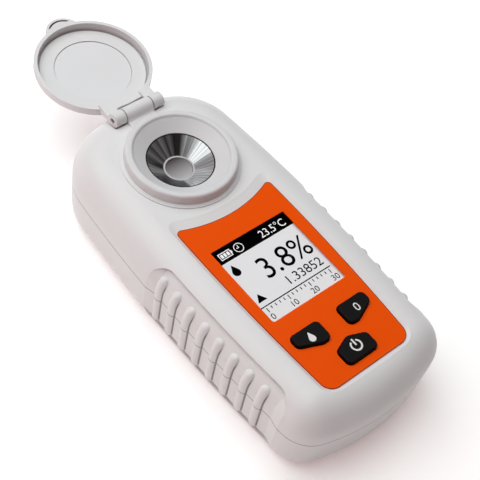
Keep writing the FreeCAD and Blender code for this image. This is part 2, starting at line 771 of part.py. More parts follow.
def label_recess():
    """Space for the label: a flat floor with a long slope up to the face all round."""
    body = new_body("label_recess")
    upper = sketch_on(body, "mouth", offset="case_height")
    label_outline(upper, "recess_side", "recess_top", "recess_bottom",
                  "label_corner + recess_side", "label_tip + recess_side")
    lower = sketch_on(body, "floor", offset=RECESS_FLOOR)
    label_outline(lower, "recess_fit", "recess_fit", "recess_fit",
                  "label_corner + recess_fit", "label_tip + recess_fit")
    loft(body, lower, upper)
    return body


def upper_key_points(side, grow="0"):
    """Corners of the left or right upper key, anticlockwise, grown all round."""
    inner = f"(keys_inner - ({grow}))"
    outer = f"(keys_outer + ({grow}))"
    upper = f"(keys_upper + ({grow}))"
    lower = f"(keys_lower - ({grow}))"
    shoulder = f"(keys_shoulder - 0.6 * ({grow}))"
    toe = f"(keys_toe + 0.3 * ({grow}))"
    points = [(inner, lower), (toe, lower), (outer, shoulder), (outer, upper), (inner, upper)]
    if side == RIGHT:
        return points
    return [(f"-{across}", along) for across, along in reversed(points)]


def power_key_points(grow="0"):
    """Corners of the power key, anticlockwise, grown all round."""
    half = f"(power_half_width + ({grow}))"
    lower = f"(power_lower - ({grow}))"
    eaves = f"(power_eaves + 0.8 * ({grow}))"
    peak = f"(power_peak + 1.1 * ({grow}))"
    return [(f"-{half}", lower), (half, lower), (half, eaves), ("0", peak), (f"-{half}", eaves)]


KEYS = {
    "meas_key": lambda grow="0": upper_key_points(LEFT, grow),
    "zero_key": lambda grow="0": upper_key_points(RIGHT, grow),
    "power_key": power_key_points,
}
KEY_MIDDLES = {
    "meas_key": ("-(keys_inner + keys_outer) / 2", "(keys_upper + keys_lower) / 2 + 0.5"),
    "zero_key": ("(keys_inner + keys_outer) / 2", "(keys_upper + keys_lower) / 2 + 0.5"),
    "power_key": ("0", "(power_eaves + power_lower) / 2 + 0.5"),
}


def key_prism(label, points, grow, low, high):
    """A solid with the rounded plan of a key between two heights."""
    body = new_body(label)
    sketch = sketch_on(body, "plan", offset=low)
    radius = f"key_corner_radius + ({grow})"
    rounded_polygon(sketch, points(grow), [radius] * 5)
    pad(body, sketch, f"({high}) - ({low})")
    return body


def key(label):
    """One key: crowned cap, hidden flange that the casing holds down, and a plunger."""
    body = new_body(label)
    points = KEYS[label]
    cap = sketch_on(body, "cap", offset=CEILING)
    rounded_polygon(cap, points("0"), ["key_corner_radius"] * 5)
    top = f"{LABEL_FACE} + key_rise"
    solid = pad(body, cap, f"{top} - {CEILING}")
    round_edges(body, solid, at_height(top), "key_crown")
    flange = sketch_on(body, "flange", offset=CEILING)
    rounded_polygon(flange, points("key_flange"), ["key_corner_radius + key_flange"] * 5)
    pad(body, flange, "flange_thickness", down=True)
    stem = sketch_on(body, "stem", offset=f"{CEILING} - flange_thickness")
    circle(stem, *KEY_MIDDLES[label], "stem_radius")
    clear = f"{CEILING} - flange_thickness - {BOARD_TOP} - switch_height - plunger_height"
    pad(body, stem, f"{clear} - key_travel - 0.1", down=True)
    return body


def front_label():
    """Printed film with a clear square cut out for the window and three holes for the keys."""
    body = new_body("front_label_film")
    sketch = sketch_on(body, "plan", offset=RECESS_FLOOR)
    label_outline(sketch, "0", "0", "0", "label_corner", "label_tip")
    half = "window_size / 2"
    low, high = f"window_middle - {half}", f"window_middle + {half}"
    corners = [(f"-{half}", low), (half, low), (half, high), (f"-{half}", high)]
    rounded_polygon(sketch, corners, ["window_round", "window_round", "window_round / 2", "window_round / 2"])
    pad(body, sketch, "label_thickness")
    holes = []
    for name, points in KEYS.items():
        low = f"{RECESS_FLOOR} - label_thickness"
        holes.append(key_prism(f"{name}_label_hole", points, "key_gap", low, "case_height"))
    return cut("front_label", body, fuse("label_key_holes", holes))


def square_plate(label, border, low, high):
    """A square plate centred on the display, past the clear square by a border."""
    half = f"(window_size / 2 + ({border}))"
    return block(label, f"-{half}", half, f"window_middle - {half}", f"window_middle + {half}", low, high)


def display_parts():
    """Window, display glass and its frame with the back light."""
    window_low = f"{RECESS_FLOOR} - window_thickness"
    window = square_plate("display_window", "window_border", window_low, RECESS_FLOOR)
    glass_low = f"{CEILING} - glass_thickness"
    plate = square_plate("display_plate", "glass_border", glass_low, CEILING)
    front = square_plate("display_front", "raised_border", glass_low, window_low)
    reach = "window_size / 2 + frame_border"
    frame = block("display_frame", "-board_half_width", "board_half_width", f"window_middle - ({reach})",
                  f"window_middle + {reach}", BOARD_TOP, glass_low)
    return [window, fuse("display_glass", [plate, front]), frame]


def mat_outline(sketch, inset):
    """Plan of the key mat: wide round the upper keys and narrow round the power key."""
    wide = f"(max(board_half_width; keys_outer + key_flange + mat_gap + 0.6) - ({inset}))"
    narrow = f"(power_half_width + key_flange + mat_gap + 1.6 - ({inset}))"
    low = f"(power_lower - key_flange - mat_gap - 1.2 + ({inset}))"
    middle = f"(keys_lower - key_flange - mat_gap - 1.2 + ({inset}))"
    high = f"(window_middle - window_size / 2 - frame_border - 0.2 - ({inset}))"
    polygon(sketch, [
        (f"-{narrow}", low),
        (narrow, low),
        (narrow, middle),
        (wide, middle),
        (wide, high),
        (f"-{wide}", high),
        (f"-{wide}", middle),
        (f"-{narrow}", middle),
    ])


def key_mat():
    """Rubber mat round the key flanges, with a rim that stands on the board."""
    body = new_body("mat_form")
    outer = sketch_on(body, "outer", offset=CEILING)
    mat_outline(outer, "0")
    pad(body, outer, f"{CEILING} - {BOARD_TOP}", down=True)
    inner = sketch_on(body, "inner", offset=f"{CEILING} - flange_thickness")
    mat_outline(inner, "mat_foot")
    pocket(body, inner, "case_height")
    holes = []
    for name, points in KEYS.items():
        holes.append(key_prism(f"{name}_mat_hole", points, "key_flange + mat_gap",
                               BOARD_TOP, "case_height"))
    return cut("key_mat", body, fuse("mat_holes", holes))


def key_switches():
    """Three push switches on the board, one under each key."""
    switches = []
    half = "switch_size / 2"
    for name, (across, along) in KEY_MIDDLES.items():
        base = block(f"{name}_switch_base", f"{across} - {half}", f"{across} + {half}", f"{along} - {half}",
                     f"{along} + {half}", BOARD_TOP, f"{BOARD_TOP} + switch_height")
        plunger = cylinder(f"{name}_switch_plunger", "plunger_radius", "switch_height + plunger_height",
                           across, along, BOARD_TOP)
        switches.append(fuse(f"{name}_switch", [base, plunger]))
    return group("key_switches", switches)


BOARD_SCREWS = [(side, along) for side in ("-", "") for along in ("board_screw_front", "board_screw_back")]
BESIDE_BOARD = "(board_half_width + case_screw_gap + case_boss)"
CASE_SCREWS = [
    (f"-{BESIDE_BOARD}", "case_screw_back"),
    (BESIDE_BOARD, "case_screw_back"),
    ("-case_screw_well_x", "case_screw_front"),
    ("case_screw_well_x", "case_screw_front"),
]
OPTICS_SCREWS = [
    ("-optics_screw_x", "optics_screw_back"),
    ("optics_screw_x", "optics_screw_back"),
    ("0", "(well_middle + optics_half_length + small_head + 0.3)"),
]


def main_board():
    """Main circuit board, hung from four bosses under the face."""
    plate = block("board_plate", "-board_half_width", "board_half_width", "board_back", "board_front",
                  BOARD_UNDER, BOARD_TOP)
    holes = []
    for number, (side, along) in enumerate(BOARD_SCREWS):
        holes.append(cylinder(f"board_hole_{number}", "small_shank + screw_gap", "3 * board_thickness",
                              f"{side}board_screw_x", along, f"{BOARD_UNDER} - board_thickness"))
    return cut("main_board", plate, fuse("board_holes", holes))


def small_screw(name, across, along, seat, grip):
    """A pan-head screw driven upwards, its head under the seat."""
    head = cylinder(f"{name}_head", "small_head", "small_head_height", across, along,
                    f"{seat} - small_head_height")
    shank = cylinder(f"{name}_shank", "small_shank", grip, across, along, seat)
    return fuse(name, [head, shank])


def board_screws():
    """The four screws that hold the main board."""
    screws = []
    for number, (side, along) in enumerate(BOARD_SCREWS):
        screws.append(small_screw(f"board_screw_{number}", f"{side}board_screw_x", along,
                                  BOARD_UNDER, "board_thickness + small_grip"))
    return group("board_screws", screws)


def board_components():
    """Processor and sounder under the main board, and the socket of the flat ribbon."""
    chip_front = "(bay_front - contact_thickness - 1.6)"
    chip = block("processor", "-chip_size / 2", "chip_size / 2", f"{chip_front} - chip_size", chip_front,
                 f"{BOARD_UNDER} - chip_height", BOARD_UNDER)
    buzzer = cylinder("buzzer", "buzzer_radius", "buzzer_height", "0",
                      "board_screw_back + buzzer_radius", f"{BOARD_UNDER} - buzzer_height")
    port = block("ribbon_socket", "-port_length / 2", "port_length / 2",
                 "board_front - port_width - 0.6", "board_front - 0.6",
                 f"{BOARD_UNDER} - port_height", BOARD_UNDER)
    return [chip, buzzer, port]


def hinge_block():
    """Middle barrel of the lid hinge and the ramp that carries it up from the face."""
    half = "barrel_length / 2"
    barrel = cylinder("barrel_solid", "barrel_radius", "barrel_length", f"-{half}", "hinge_middle",
                      HINGE_HEIGHT, ALONG_X)
    body = new_body("barrel_ramp")
    sketch = sketch_on(body, "side", "YZ_Plane")
    polygon(sketch, [
        ("hinge_middle - barrel_radius - 2.4", "case_height - wall"),
        ("hinge_middle + barrel_radius", "case_height - 2 * wall"),
        ("hinge_middle + barrel_radius", HINGE_HEIGHT),
        ("hinge_middle - barrel_radius", HINGE_HEIGHT),
        ("hinge_middle - barrel_radius - 0.5", "case_height + 0.7"),
        ("hinge_middle - barrel_radius - 2.4", "case_height + 0.1"),
    ])
    pad(body, sketch, "barrel_length", both=True)
    return [barrel, body]


def hinge_pockets():
    """Room in the shoulder for the two lid knuckles and arms, and for the pin."""
    pockets = []
    for side in (LEFT, RIGHT):
        sign = "-" if side == LEFT else ""
        near = "barrel_length / 2"
        far = "hinge_length / 2 + barrel_gap + 0.2"
        left, right = (f"-({far})", f"-({near})") if side == LEFT else (near, far)
        start = left
        tag = "left" if side == LEFT else "right"
        pockets.append(cylinder(f"{tag}_knuckle_room", "barrel_radius + pocket_gap", f"({far}) - ({near})",
                                start, "hinge_middle", HINGE_HEIGHT, ALONG_X))
        pockets.append(block(f"{tag}_arm_room", left, right, "hinge_middle",
                             "case_length / 2 + wall", f"{HINGE_HEIGHT} - arm_thickness - pocket_gap",
                             "case_height + wall"))
    return pockets


def pin_bore():
    """Hole for the hinge pin through the middle barrel."""
    return cylinder("pin_bore", "pin_radius + pin_fit", "hinge_length + 2 * wall",
                    "-hinge_length / 2 - wall", "hinge_middle", HINGE_HEIGHT, ALONG_X)


def top_shell():
    """Upper casing: face, shoulders, grips, label recess, well hole, hinge and screw bosses."""
    form = upper_form("upper_form", "0")
    core = upper_form("upper_core", "grip_depth")
    cavity = upper_form("upper_cavity", "wall")
    carved = cut("upper_carved", form, grip_scallop("upper_scallop", form, core, True))
    outside = fuse("upper_outside", [carved, rib_bars("upper_ribs", True), *hinge_block()])
    rooms = [cavity, label_recess()]
    rooms.append(seam_ring("upper_rebate", "seal_outer", "wall + 0.4",
                           "seam_height", "seam_height + seal_height / 2"))
    rooms.append(cylinder("flange_room", "collar_base + spigot_fit", "collar_height", "0", "well_middle",
                          "case_height"))
    rooms.append(cylinder("well_hole", "well_spigot + spigot_fit", "4 * wall", "0", "well_middle",
                          "case_height - 3 * wall"))
    rooms.append(square_plate("window_pocket", "window_border + pocket_fit",
                              f"{RECESS_FLOOR} - window_thickness", "case_height"))
    rooms.append(square_plate("aperture", "aperture_border", f"{CEILING} - wall", "case_height"))
    for name, points in KEYS.items():
        rooms.append(key_prism(f"{name}_hole", points, "key_gap", f"{CEILING} - wall", "case_height"))
    rooms.extend(hinge_pockets())
    rooms.append(pin_bore())
    hollow = cut("upper_hollow", outside, fuse("upper_rooms", rooms))
    bosses = []
    pilots = []
    sink = "wall / 4"
    for number, (across, along) in enumerate(CASE_SCREWS):
        bosses.append(cylinder(f"upper_case_boss_{number}", "case_boss",
                               f"{CEILING} - seam_height + {sink}", across, along, "seam_height"))
        pilots.append(cylinder(f"case_pilot_{number}", "case_shank + screw_gap", "case_grip + 1",
                               across, along, "seam_height"))
    for number, (side, along) in enumerate(BOARD_SCREWS):
        bosses.append(cylinder(f"board_boss_{number}", "board_boss", f"{CEILING} - {BOARD_TOP} + {sink}",
                               f"{side}board_screw_x", along, BOARD_TOP))
        pilots.append(cylinder(f"board_pilot_{number}", "small_shank + screw_gap", "small_grip + 0.4",
                               f"{side}board_screw_x", along, BOARD_TOP))
    for number, (across, along) in enumerate(OPTICS_SCREWS):
        bosses.append(cylinder(f"optics_boss_{number}", "board_boss", f"{CEILING} - {BLOCK_TOP} + {sink}",
                               across, along, BLOCK_TOP))
        pilots.append(cylinder(f"optics_pilot_{number}", "small_shank + screw_gap",
                               f"{CEILING} - {BLOCK_TOP} + wall / 2", across, along, BLOCK_TOP))
    solid = fuse("upper_with_bosses", [hollow, *bosses])
    return cut("top_shell", solid, fuse("upper_pilots", pilots))


def bottom_shell(lower):
    """Lower casing: back, sides, grips, screw posts and the battery bay with its rails."""
    core = lower_form("lower_core", "grip_depth")
    cavity = lower_form("lower_cavity", "wall")
    carved = cut("lower_carved", lower, grip_scallop("lower_scallop", lower, core, False))
    outside = fuse("lower_outside", [carved, rib_bars("lower_ribs", False)])
    rebate = seam_ring("lower_rebate", "seal_outer", "wall + 0.4",
                       "seam_height - seal_height / 2", "seam_height")
    hollow = cut("lower_hollow", outside, fuse("lower_rooms", [cavity, rebate]))
    added = []
    drilled = []
    for number, (across, along) in enumerate(CASE_SCREWS):
        added.append(cylinder(f"lower_case_boss_{number}", "case_boss", "seam_height - wall / 2",
                              across, along, "wall / 2"))
        drilled.append(cylinder(f"case_clear_{number}", "case_shank + screw_gap", "seam_height + wall",
                                across, along, "-wall / 2"))
        drilled.append(cylinder(f"case_counterbore_{number}", "counterbore", "counterbore_depth + wall",
                                across, along, "-wall"))
    wall_half = f"({BAY_HALF} + bay_wall)"
    rail_half = f"({DOOR_HALF} + tongue_width + rail_width / 2)"
    groove_top = "(door_thickness + door_gap)"
    added.append(block("bay_walls", f"-{wall_half}", wall_half, f"{BAY_BACK} - bay_wall",
                       "bay_front + bay_wall", "wall / 2", f"{BAY_CEILING} + bay_wall"))
    added.append(block("bay_rails", f"-{rail_half}", rail_half, f"{BAY_BACK} - bay_wall",
                       "bay_front + bay_wall + 1.2", "wall / 2", f"{groove_top} + rail_height"))
    rooms = [block("bay_room", f"-{BAY_HALF}", BAY_HALF, BAY_BACK, "bay_front", "-wall", BAY_CEILING)]
    far = "-case_length"
    half = f"({DOOR_HALF} + door_gap)"
    groove = f"({DOOR_HALF} + tongue_width + door_gap)"
    rooms.append(block("door_slot", f"-{half}", half, far, "door_front + door_gap", "-wall", groove_top))
    rooms.append(block("door_groove", f"-{groove}", groove, far, "door_front + door_gap",
                       "door_thickness - tongue_height - door_gap", groove_top))
    for side in (LEFT, RIGHT):
        tag = "left" if side == LEFT else "right"
        across = f"{side} * (cell_radius + cell_gap / 2)"
        rooms.append(block(f"{tag}_tail_slot", f"{across} - tail_width / 2 - 0.2",
                           f"{across} + tail_width / 2 + 0.2", "bay_front - contact_thickness - 0.1",
                           "bay_front", BAY_CEILING, f"{BAY_CEILING} + 2 * bay_wall"))
    solid = fuse("lower_with_bay", [hollow, *added])
    return cut("bottom_shell", solid, fuse("lower_cuts", [*drilled, *rooms]))


def battery_door(lower):
    """Battery door, cut from the back of the casing so that its end follows the outside."""
    groove = f"({DOOR_HALF} + tongue_width)"
    far = "-case_length"
    panel = block("door_panel", f"-{DOOR_HALF}", DOOR_HALF, far, "door_front", "0", "door_thickness")
    tongues = block("door_tongues", f"-{groove}", groove, far, "door_front",
                    "door_thickness - tongue_height", "door_thickness")
    form = common("door_form", lower, fuse("door_blank", [panel, tongues]))
    notches = []
    for number in range(int(value("notch_count"))):
        along = f"door_front - 5 - {number} * notch_pitch"
        notches.append(cylinder(f"door_notch_{number}", "notch_radius", "2 * notch_half_width",
                                "-notch_half_width", along, "0", ALONG_X))
    return cut("battery_door", form, fuse("door_notches", notches))


def battery_cells():
    """Two dry cells, side by side and head to tail."""
    cells = []
    for side, name in ((LEFT, "battery_cell_left"), (RIGHT, "battery_cell_right")):
        across = f"{side} * (cell_radius + cell_gap / 2)"
        nub_first = side == LEFT
        flat = "bay_front - contact_thickness"
        far = f"{BAY_BACK} + contact_thickness"
        body_length = "cell_length - nub_length"
        if nub_first:
            start = f"{flat} - cell_gap / 2 - cell_length"
            nub_start = f"{start} + {body_length}"
        else:
            nub_start = f"{far} + cell_gap / 2"
            start = f"{nub_start} + nub_length"
        can = cylinder(f"{name}_can", "cell_radius", body_length, across, start, CELL_MIDDLE, ALONG_Y)
        nub = cylinder(f"{name}_nub", "nub_radius", "nub_length", across, nub_start, CELL_MIDDLE, ALONG_Y)
        cells.append(fuse(name, [can, nub]))
    return cells


def battery_contacts():
    """Bridge plate at the far end, two plates with tails to the board, and two springs."""
    low = f"{CELL_MIDDLE} - contact_height / 2"
    high = f"{CELL_MIDDLE} + contact_height / 2"
    middle = "(cell_radius + cell_gap / 2)"
    bridge = block("bridge_contact", f"-{middle} - contact_half_width", f"{middle} + contact_half_width",
                   BAY_BACK, f"{BAY_BACK} + contact_thickness", low, high)
    plates = [bridge]
    for side, name in ((LEFT, "positive_contact"), (RIGHT, "negative_contact")):
        across = f"{side} * {middle}"
        plate = block(f"{name}_plate", f"{across} - contact_half_width", f"{across} + contact_half_width",
                      "bay_front - contact_thickness", "bay_front", low, high)
        tail = block(f"{name}_tail", f"{across} - tail_width / 2", f"{across} + tail_width / 2",
                     "bay_front - contact_thickness", "bay_front", low, BOARD_UNDER)
        plates.append(fuse(name, [plate, tail]))
    return plates


def contact_springs():
    """Two coil springs, each pressed between its plate and the flat end of a cell."""
    radius = value("spring_radius")
    wire = value("spring_wire")
    rise = value("spring_length - cell_gap / 2") - 2 * wire
    runs = int(value("spring_runs"))
    count = int(value("spring_turns")) * runs
    places = []
    for number in range(count + 1):
        angle = 2 * math.pi * number / runs
        places.append(Vector(radius * math.cos(angle), radius * math.sin(angle), rise * number / count))
    path = Part.makePolygon(places)
    section = Part.Wire([Part.makeCircle(wire, places[0], places[1] - places[0])])
    coils = []
    for side in (LEFT, RIGHT):
        coil = path.makePipeShell([section], True, False, 1)
        across = side * value("cell_radius + cell_gap / 2")
        if side == LEFT:
            along = value(f"{BAY_BACK} + contact_thickness") + wire
            turn = Rotation(AXIS_X, -90)
        else:
            along = value("bay_front - contact_thickness") - wire
            turn = Rotation(AXIS_X, 90)
        coil.Placement = FreeCAD.Placement(Vector(across, along, value(CELL_MIDDLE)), turn)
        coils.append(coil)
    item = doc.addObject("Part::Feature", "contact_springs")
    item.Label = "contact_springs"
    item.Shape = Part.makeCompound(coils)
    return item


def case_screws():
    """The four screws that hold the casing together, driven from the back."""
    screws = []
    seat = "counterbore_depth"
    for number, (across, along) in enumerate(CASE_SCREWS):
        head = cylinder(f"case_screw_head_{number}", "case_head", "case_head_height", across, along,
                        f"{seat} - case_head_height")
        shank = cylinder(f"case_screw_shank_{number}", "case_shank", f"seam_height - {seat} + case_grip",
                         across, along, seat)
        screws.append(fuse(f"case_screw_{number}", [head, shank]))
    return group("case_screws", screws)


def well_collar():
    """Moulded collar round the sample well: flange, upright rim and funnel down to the cup."""
    body = new_body("well_collar")
    sketch = sketch_on(body, "profile", "XZ_Plane")
    face = "case_height"
    ledge = "cup_rim + cup_lip + spigot_fit"
    polygon(sketch, [
        (ledge, f"{face} + 0.1"),
        (ledge, f"{face} - cup_wall + 0.05"),
        ("cup_flange + spigot_fit", f"{face} - cup_wall + 0.05"),
        ("cup_flange + spigot_fit", f"{face} - collar_depth"),
        ("well_spigot", f"{face} - collar_depth"),
        ("well_spigot", face),
        ("collar_base", face),
        ("collar_base", f"{face} + collar_step"),
        ("collar_rim + 0.35", f"{face} + collar_step + 0.25"),
        ("collar_rim", f"{face} + collar_height"),
        ("collar_mouth", f"{face} + collar_height"),
        ("collar_mouth - 0.6", f"{face} + collar_height - 0.8"),
    ])
    solid = revolve(body, sketch)
    crest = "min(0.9; (collar_rim - collar_mouth) / 2 - 0.1)"
    round_edges(body, solid, at_height(f"{face} + collar_height"), crest)
    bind(body, "Placement.Base.y", "well_middle")
    return body


def sample_cup():
    """Polished steel cup: a cone from its rim down to the foot that frames the prism."""
    body = new_body("sample_cup")
    sketch = sketch_on(body, "profile", "XZ_Plane")
    rim = "case_height"
    foot = f"{rim} - cup_depth"
    under = f"{rim} - cup_wall"
    polygon(sketch, [
        ("cup_hole", foot),
        ("cup_hole", f"{foot} - cup_wall"),
        ("cup_foot", f"{foot} - cup_wall"),
        ("cup_foot", f"{foot} - 0.3"),
        ("cup_rim - 0.3", f"{under} - cup_wall"),
        ("cup_flange", f"{under} - cup_wall"),
        ("cup_flange", under),
        ("cup_rim + cup_lip", under),
        ("cup_rim + cup_lip", rim),
        ("cup_rim", rim),
        ("cup_hole + 0.6", foot),
    ])
    revolve(body, sketch)
    bind(body, "Placement.Base.y", "well_middle")
    return body


def prism():
    """Glass prism: a round polished face on a block with two slanted sides for the light."""
    body = new_body("prism")
    sketch = sketch_on(body, "side", "YZ_Plane")
    reach = "prism_half_length"
    polygon(sketch, [
        (f"-{reach}", PRISM_SHOULDER),
        (f"-({reach} - prism_height)", f"{PRISM_SHOULDER} - prism_height"),
        (f"{reach} - prism_height", f"{PRISM_SHOULDER} - prism_height"),
        (reach, PRISM_SHOULDER),
    ])
    pad(body, sketch, "2 * prism_half_width", both=True)
    face = sketch_on(body, "face", offset=PRISM_SHOULDER)
    circle(face, "0", "0", "prism_face")
    pad(body, face, f"{PRISM_TOP} - {PRISM_SHOULDER}")
    bind(body, "Placement.Base.y", "well_middle")
    return body


def prism_seal():
    """Rubber ring round the prism, pressed between its shoulder and the cup's foot."""
    item = doc.addObject("Part::Torus", "prism_seal")
    bind(item, "Radius1", "prism_face + seal_ring_wire + 0.03")
    bind(item, "Radius2", "seal_ring_wire")
    move(item, "0", "well_middle", f"{PRISM_SHOULDER} + seal_ring_wire")
    return item


SLOPE_FOOT = "(optics_half_length - (optics_height - optics_shoulder))"
TUNNEL_ALONG = "(prism_half_length - prism_height / 2)"
TUNNEL_HEIGHT = f"({PRISM_SHOULDER} - prism_height / 2)"
TUNNEL_RUN = f"(({SLOPE_FOOT} + {TUNNEL_HEIGHT} - {BLOCK_TOP} + optics_height - {TUNNEL_ALONG}) / 2)"
MOUTH_ALONG = f"({TUNNEL_ALONG} + {TUNNEL_RUN})"
MOUTH_HEIGHT = f"({TUNNEL_HEIGHT} - {TUNNEL_RUN})"
LENS_FAR = "(lens_place + lens_thickness)"


def on_slope(item, side, across="0", up_slope="0", inwards="0"):
    """Turn an item to face up a tunnel and place it where the tunnel leaves the block."""
    item.Placement = FreeCAD.Placement(Vector(), Rotation(AXIS_X, 45 * side))
    along = f"({MOUTH_ALONG} + (({up_slope}) - ({inwards})) * sqrt(0.5))"
    height = f"({MOUTH_HEIGHT} + (({up_slope}) + ({inwards})) * sqrt(0.5))"
    move(item, across, f"well_middle + {side} * {along}", height)
    return item


def slope_box(name, side, width, length, low, high):
    """A box centred on a tunnel, between two distances up the tunnel from the slope."""
    item = doc.addObject("Part::Box", name)
    bind(item, "Length", width)
    bind(item, "Width", length)
    bind(item, "Height", f"({high}) - ({low})")
    return on_slope(item, side, f"-({width}) / 2", f"{-side} * ({length}) / 2", low)


def slope_bar(name, side, radius, low, high):
    """A round bar on the axis of a tunnel."""
    item = cylinder(name, radius, f"({high}) - ({low})")
    return on_slope(item, side, inwards=low)


def optics_block():
    """Black moulded block: seat for the prism, two light tunnels and a screwed flange."""
    body = new_body("optics_form")
    sketch = sketch_on(body, "side", "YZ_Plane")
    reach = "optics_half_length"
    foot = SLOPE_FOOT
    polygon(sketch, [
        (f"-{foot}", f"{BLOCK_TOP} - optics_height"),
        (foot, f"{BLOCK_TOP} - optics_height"),
        (reach, f"{BLOCK_TOP} - optics_shoulder"),
        (reach, BLOCK_TOP),
        (f"-{reach}", BLOCK_TOP),
        (f"-{reach}", f"{BLOCK_TOP} - optics_shoulder"),
    ])
    pad(body, sketch, "2 * optics_half_width", both=True)
    bind(body, "Placement.Base.y", "well_middle")
    ears = []
    for number, (across, along) in enumerate(OPTICS_SCREWS):
        ears.append(cylinder(f"optics_ear_{number}", "optics_ear", "optics_flange", across, along,
                             f"{BLOCK_TOP} - optics_flange"))
    ears.append(block("optics_cross", "-optics_screw_x", "optics_screw_x",
                      "optics_screw_back - optics_ear", "optics_screw_back + optics_ear",
                      f"{BLOCK_TOP} - optics_flange", BLOCK_TOP))
    ears.append(block("optics_nose", "-optics_ear", "optics_ear", "well_middle", OPTICS_SCREWS[-1][1],
                      f"{BLOCK_TOP} - optics_flange", BLOCK_TOP))
    solid = fuse("optics_solid", [body, *ears])
    seat = new_body("prism_room")
    profile = sketch_on(seat, "side", "YZ_Plane")
    fit = "prism_fit"
    length = "prism_half_length"
    polygon(profile, [
        (f"-({length} + {fit})", f"{BLOCK_TOP} + {fit}"),
        (f"-({length} + {fit})", PRISM_SHOULDER),
        (f"-({length} - prism_height + {fit})", f"{PRISM_SHOULDER} - prism_height"),
        (f"{length} - prism_height + {fit}", f"{PRISM_SHOULDER} - prism_height"),
        (f"{length} + {fit}", PRISM_SHOULDER),
        (f"{length} + {fit}", f"{BLOCK_TOP} + {fit}"),
    ])
    pad(seat, profile, f"2 * (prism_half_width + {fit})", both=True)
    bind(seat, "Placement.Base.y", "well_middle")
    rooms = [
        seat,
        cylinder("seal_room", "prism_face + 2 * seal_ring_wire + 0.1", f"{BLOCK_TOP} - {PRISM_SHOULDER} + 1",
                 "0", "well_middle", PRISM_SHOULDER),
        slope_bar("sensor_tunnel", LEFT, "tunnel_radius", "-1", f"{TUNNEL_RUN} * sqrt(2)"),
        slope_box("sensor_mouth", LEFT, "sensor_width + 0.6", "sensor_length + 0.6", "-1",
                  "sensor_height + 0.3"),
        slope_bar("lamp_tunnel", RIGHT, "tunnel_radius", "-1", LENS_FAR),
        slope_bar("light_stop", RIGHT, "tunnel_radius - 0.6", "-1", f"{TUNNEL_RUN} * sqrt(2)"),
    ]
    for number, (across, along) in enumerate(OPTICS_SCREWS):
        rooms.append(cylinder(f"optics_hole_{number}", "small_shank + screw_gap", "2 * optics_flange",
                              across, along, f"{BLOCK_TOP} - 1.5 * optics_flange"))
    return cut("optics_block", solid, fuse("optics_rooms", rooms))


def optics_screws():
    """The three screws that hold the optics block up against the cup."""
    screws = []
    for number, (across, along) in enumerate(OPTICS_SCREWS):
        screws.append(small_screw(f"optics_screw_{number}", across, along, f"{BLOCK_TOP} - optics_flange",
                                  f"optics_flange + {CEILING} - {BLOCK_TOP}"))
    return group("optics_screws", screws)


def lid():
    """Lid of the sample well, modelled closed about its hinge axis and then laid open."""
    body = new_body("lid_cap")
    sketch = sketch_on(body, "profile", "XZ_Plane")
    inner = "(lid_radius - lid_wall)"
    polygon(sketch, [
        ("0", LID_TOP),
        ("0", "lid_floor + liner_sink + liner_thickness"),
        ("liner_radius + 0.15", "lid_floor + liner_sink + liner_thickness"),
        ("liner_radius + 0.15", "lid_floor"),
        ("lid_pad", "lid_floor"),
        ("lid_pad", "lid_floor + lid_groove"),
        (inner, "lid_floor + lid_groove"),
        (inner, "lid_lip"),
        ("lid_radius", "lid_lip"),
        ("lid_radius", LID_TOP),
    ])
    solid = revolve(body, sketch)
    round_edges(body, solid, lambda edge: at_height(LID_TOP)(edge) and edge.BoundBox.XLength > 1,
                "lid_edge")
    bind(body, "Placement.Base.y", f"-{LID_REACH}")
    half = "hinge_length / 2"
    near = "barrel_length / 2 + barrel_gap"
    tab = cylinder("lid_tab", "tab_radius", "tab_thickness", "0", f"-{LID_REACH} - tab_reach", "lid_lip")
    web = block("lid_web", f"-{half}", half, "-8.5", "-web_edge", "lid_lip", "arm_thickness")
    added = [tab, web]
    for side in (LEFT, RIGHT):
        tag = "left" if side == LEFT else "right"
        left, right = (f"-({half})", f"-({near})") if side == LEFT else (near, half)
        added.append(block(f"{tag}_arm", left, right, "-8.5", "0", "0", "arm_thickness"))
        added.append(cylinder(f"{tag}_knuckle", "barrel_radius", f"{half} - ({near})", left, "0", "0",
                              ALONG_X))
    inside = cylinder("lid_inside", inner, "lid_floor + 1", "0", f"-{LID_REACH}", "-1")
    extras = cut("lid_extras", fuse("lid_added", added), inside)
    solid = fuse("lid_solid", [body, extras])
    ring = cut("slit_ring",
               cylinder("slit_outer", "slit_radius + slit_width / 2", "slit_depth + 1", "0",
                        f"-{LID_REACH} - tab_reach", "lid_lip - 1"),
               cylinder("slit_inner", "slit_radius - slit_width / 2", "slit_depth + 3", "0",
                        f"-{LID_REACH} - tab_reach", "lid_lip - 2"))
    keep = cylinder("slit_keep", "lid_radius + 0.9", "slit_depth + 3", "0", f"-{LID_REACH}", "lid_lip - 2")
    slit = cut("lid_slit", ring, keep)
    bore = cylinder("lid_bore", "pin_radius + pin_fit", "hinge_length + 2", "-hinge_length / 2 - 1",
                    "0", "0", ALONG_X)
    item = cut("lid", solid, fuse("lid_cuts", [slit, bore]))
    lay_open(item)
    return item


def lay_open(item):
    """Turn a piece of the closed lid about the hinge axis to where the open lid rests."""
    item.Placement = FreeCAD.Placement(Vector(), Rotation(Vector(-1, 0, 0), value("lid_open")))
    bind(item, "Placement.Rotation.Angle", "lid_open")
    move(item, "0", "hinge_middle", HINGE_HEIGHT)


def lid_liner():
    """Thin disc let into the lid floor."""
    disc = cylinder("liner_disc", "liner_radius", "liner_thickness", "0", f"-{LID_REACH}",
                    "lid_floor + liner_sink")
    item = group("lid_liner", [disc])
    lay_open(item)
    return item


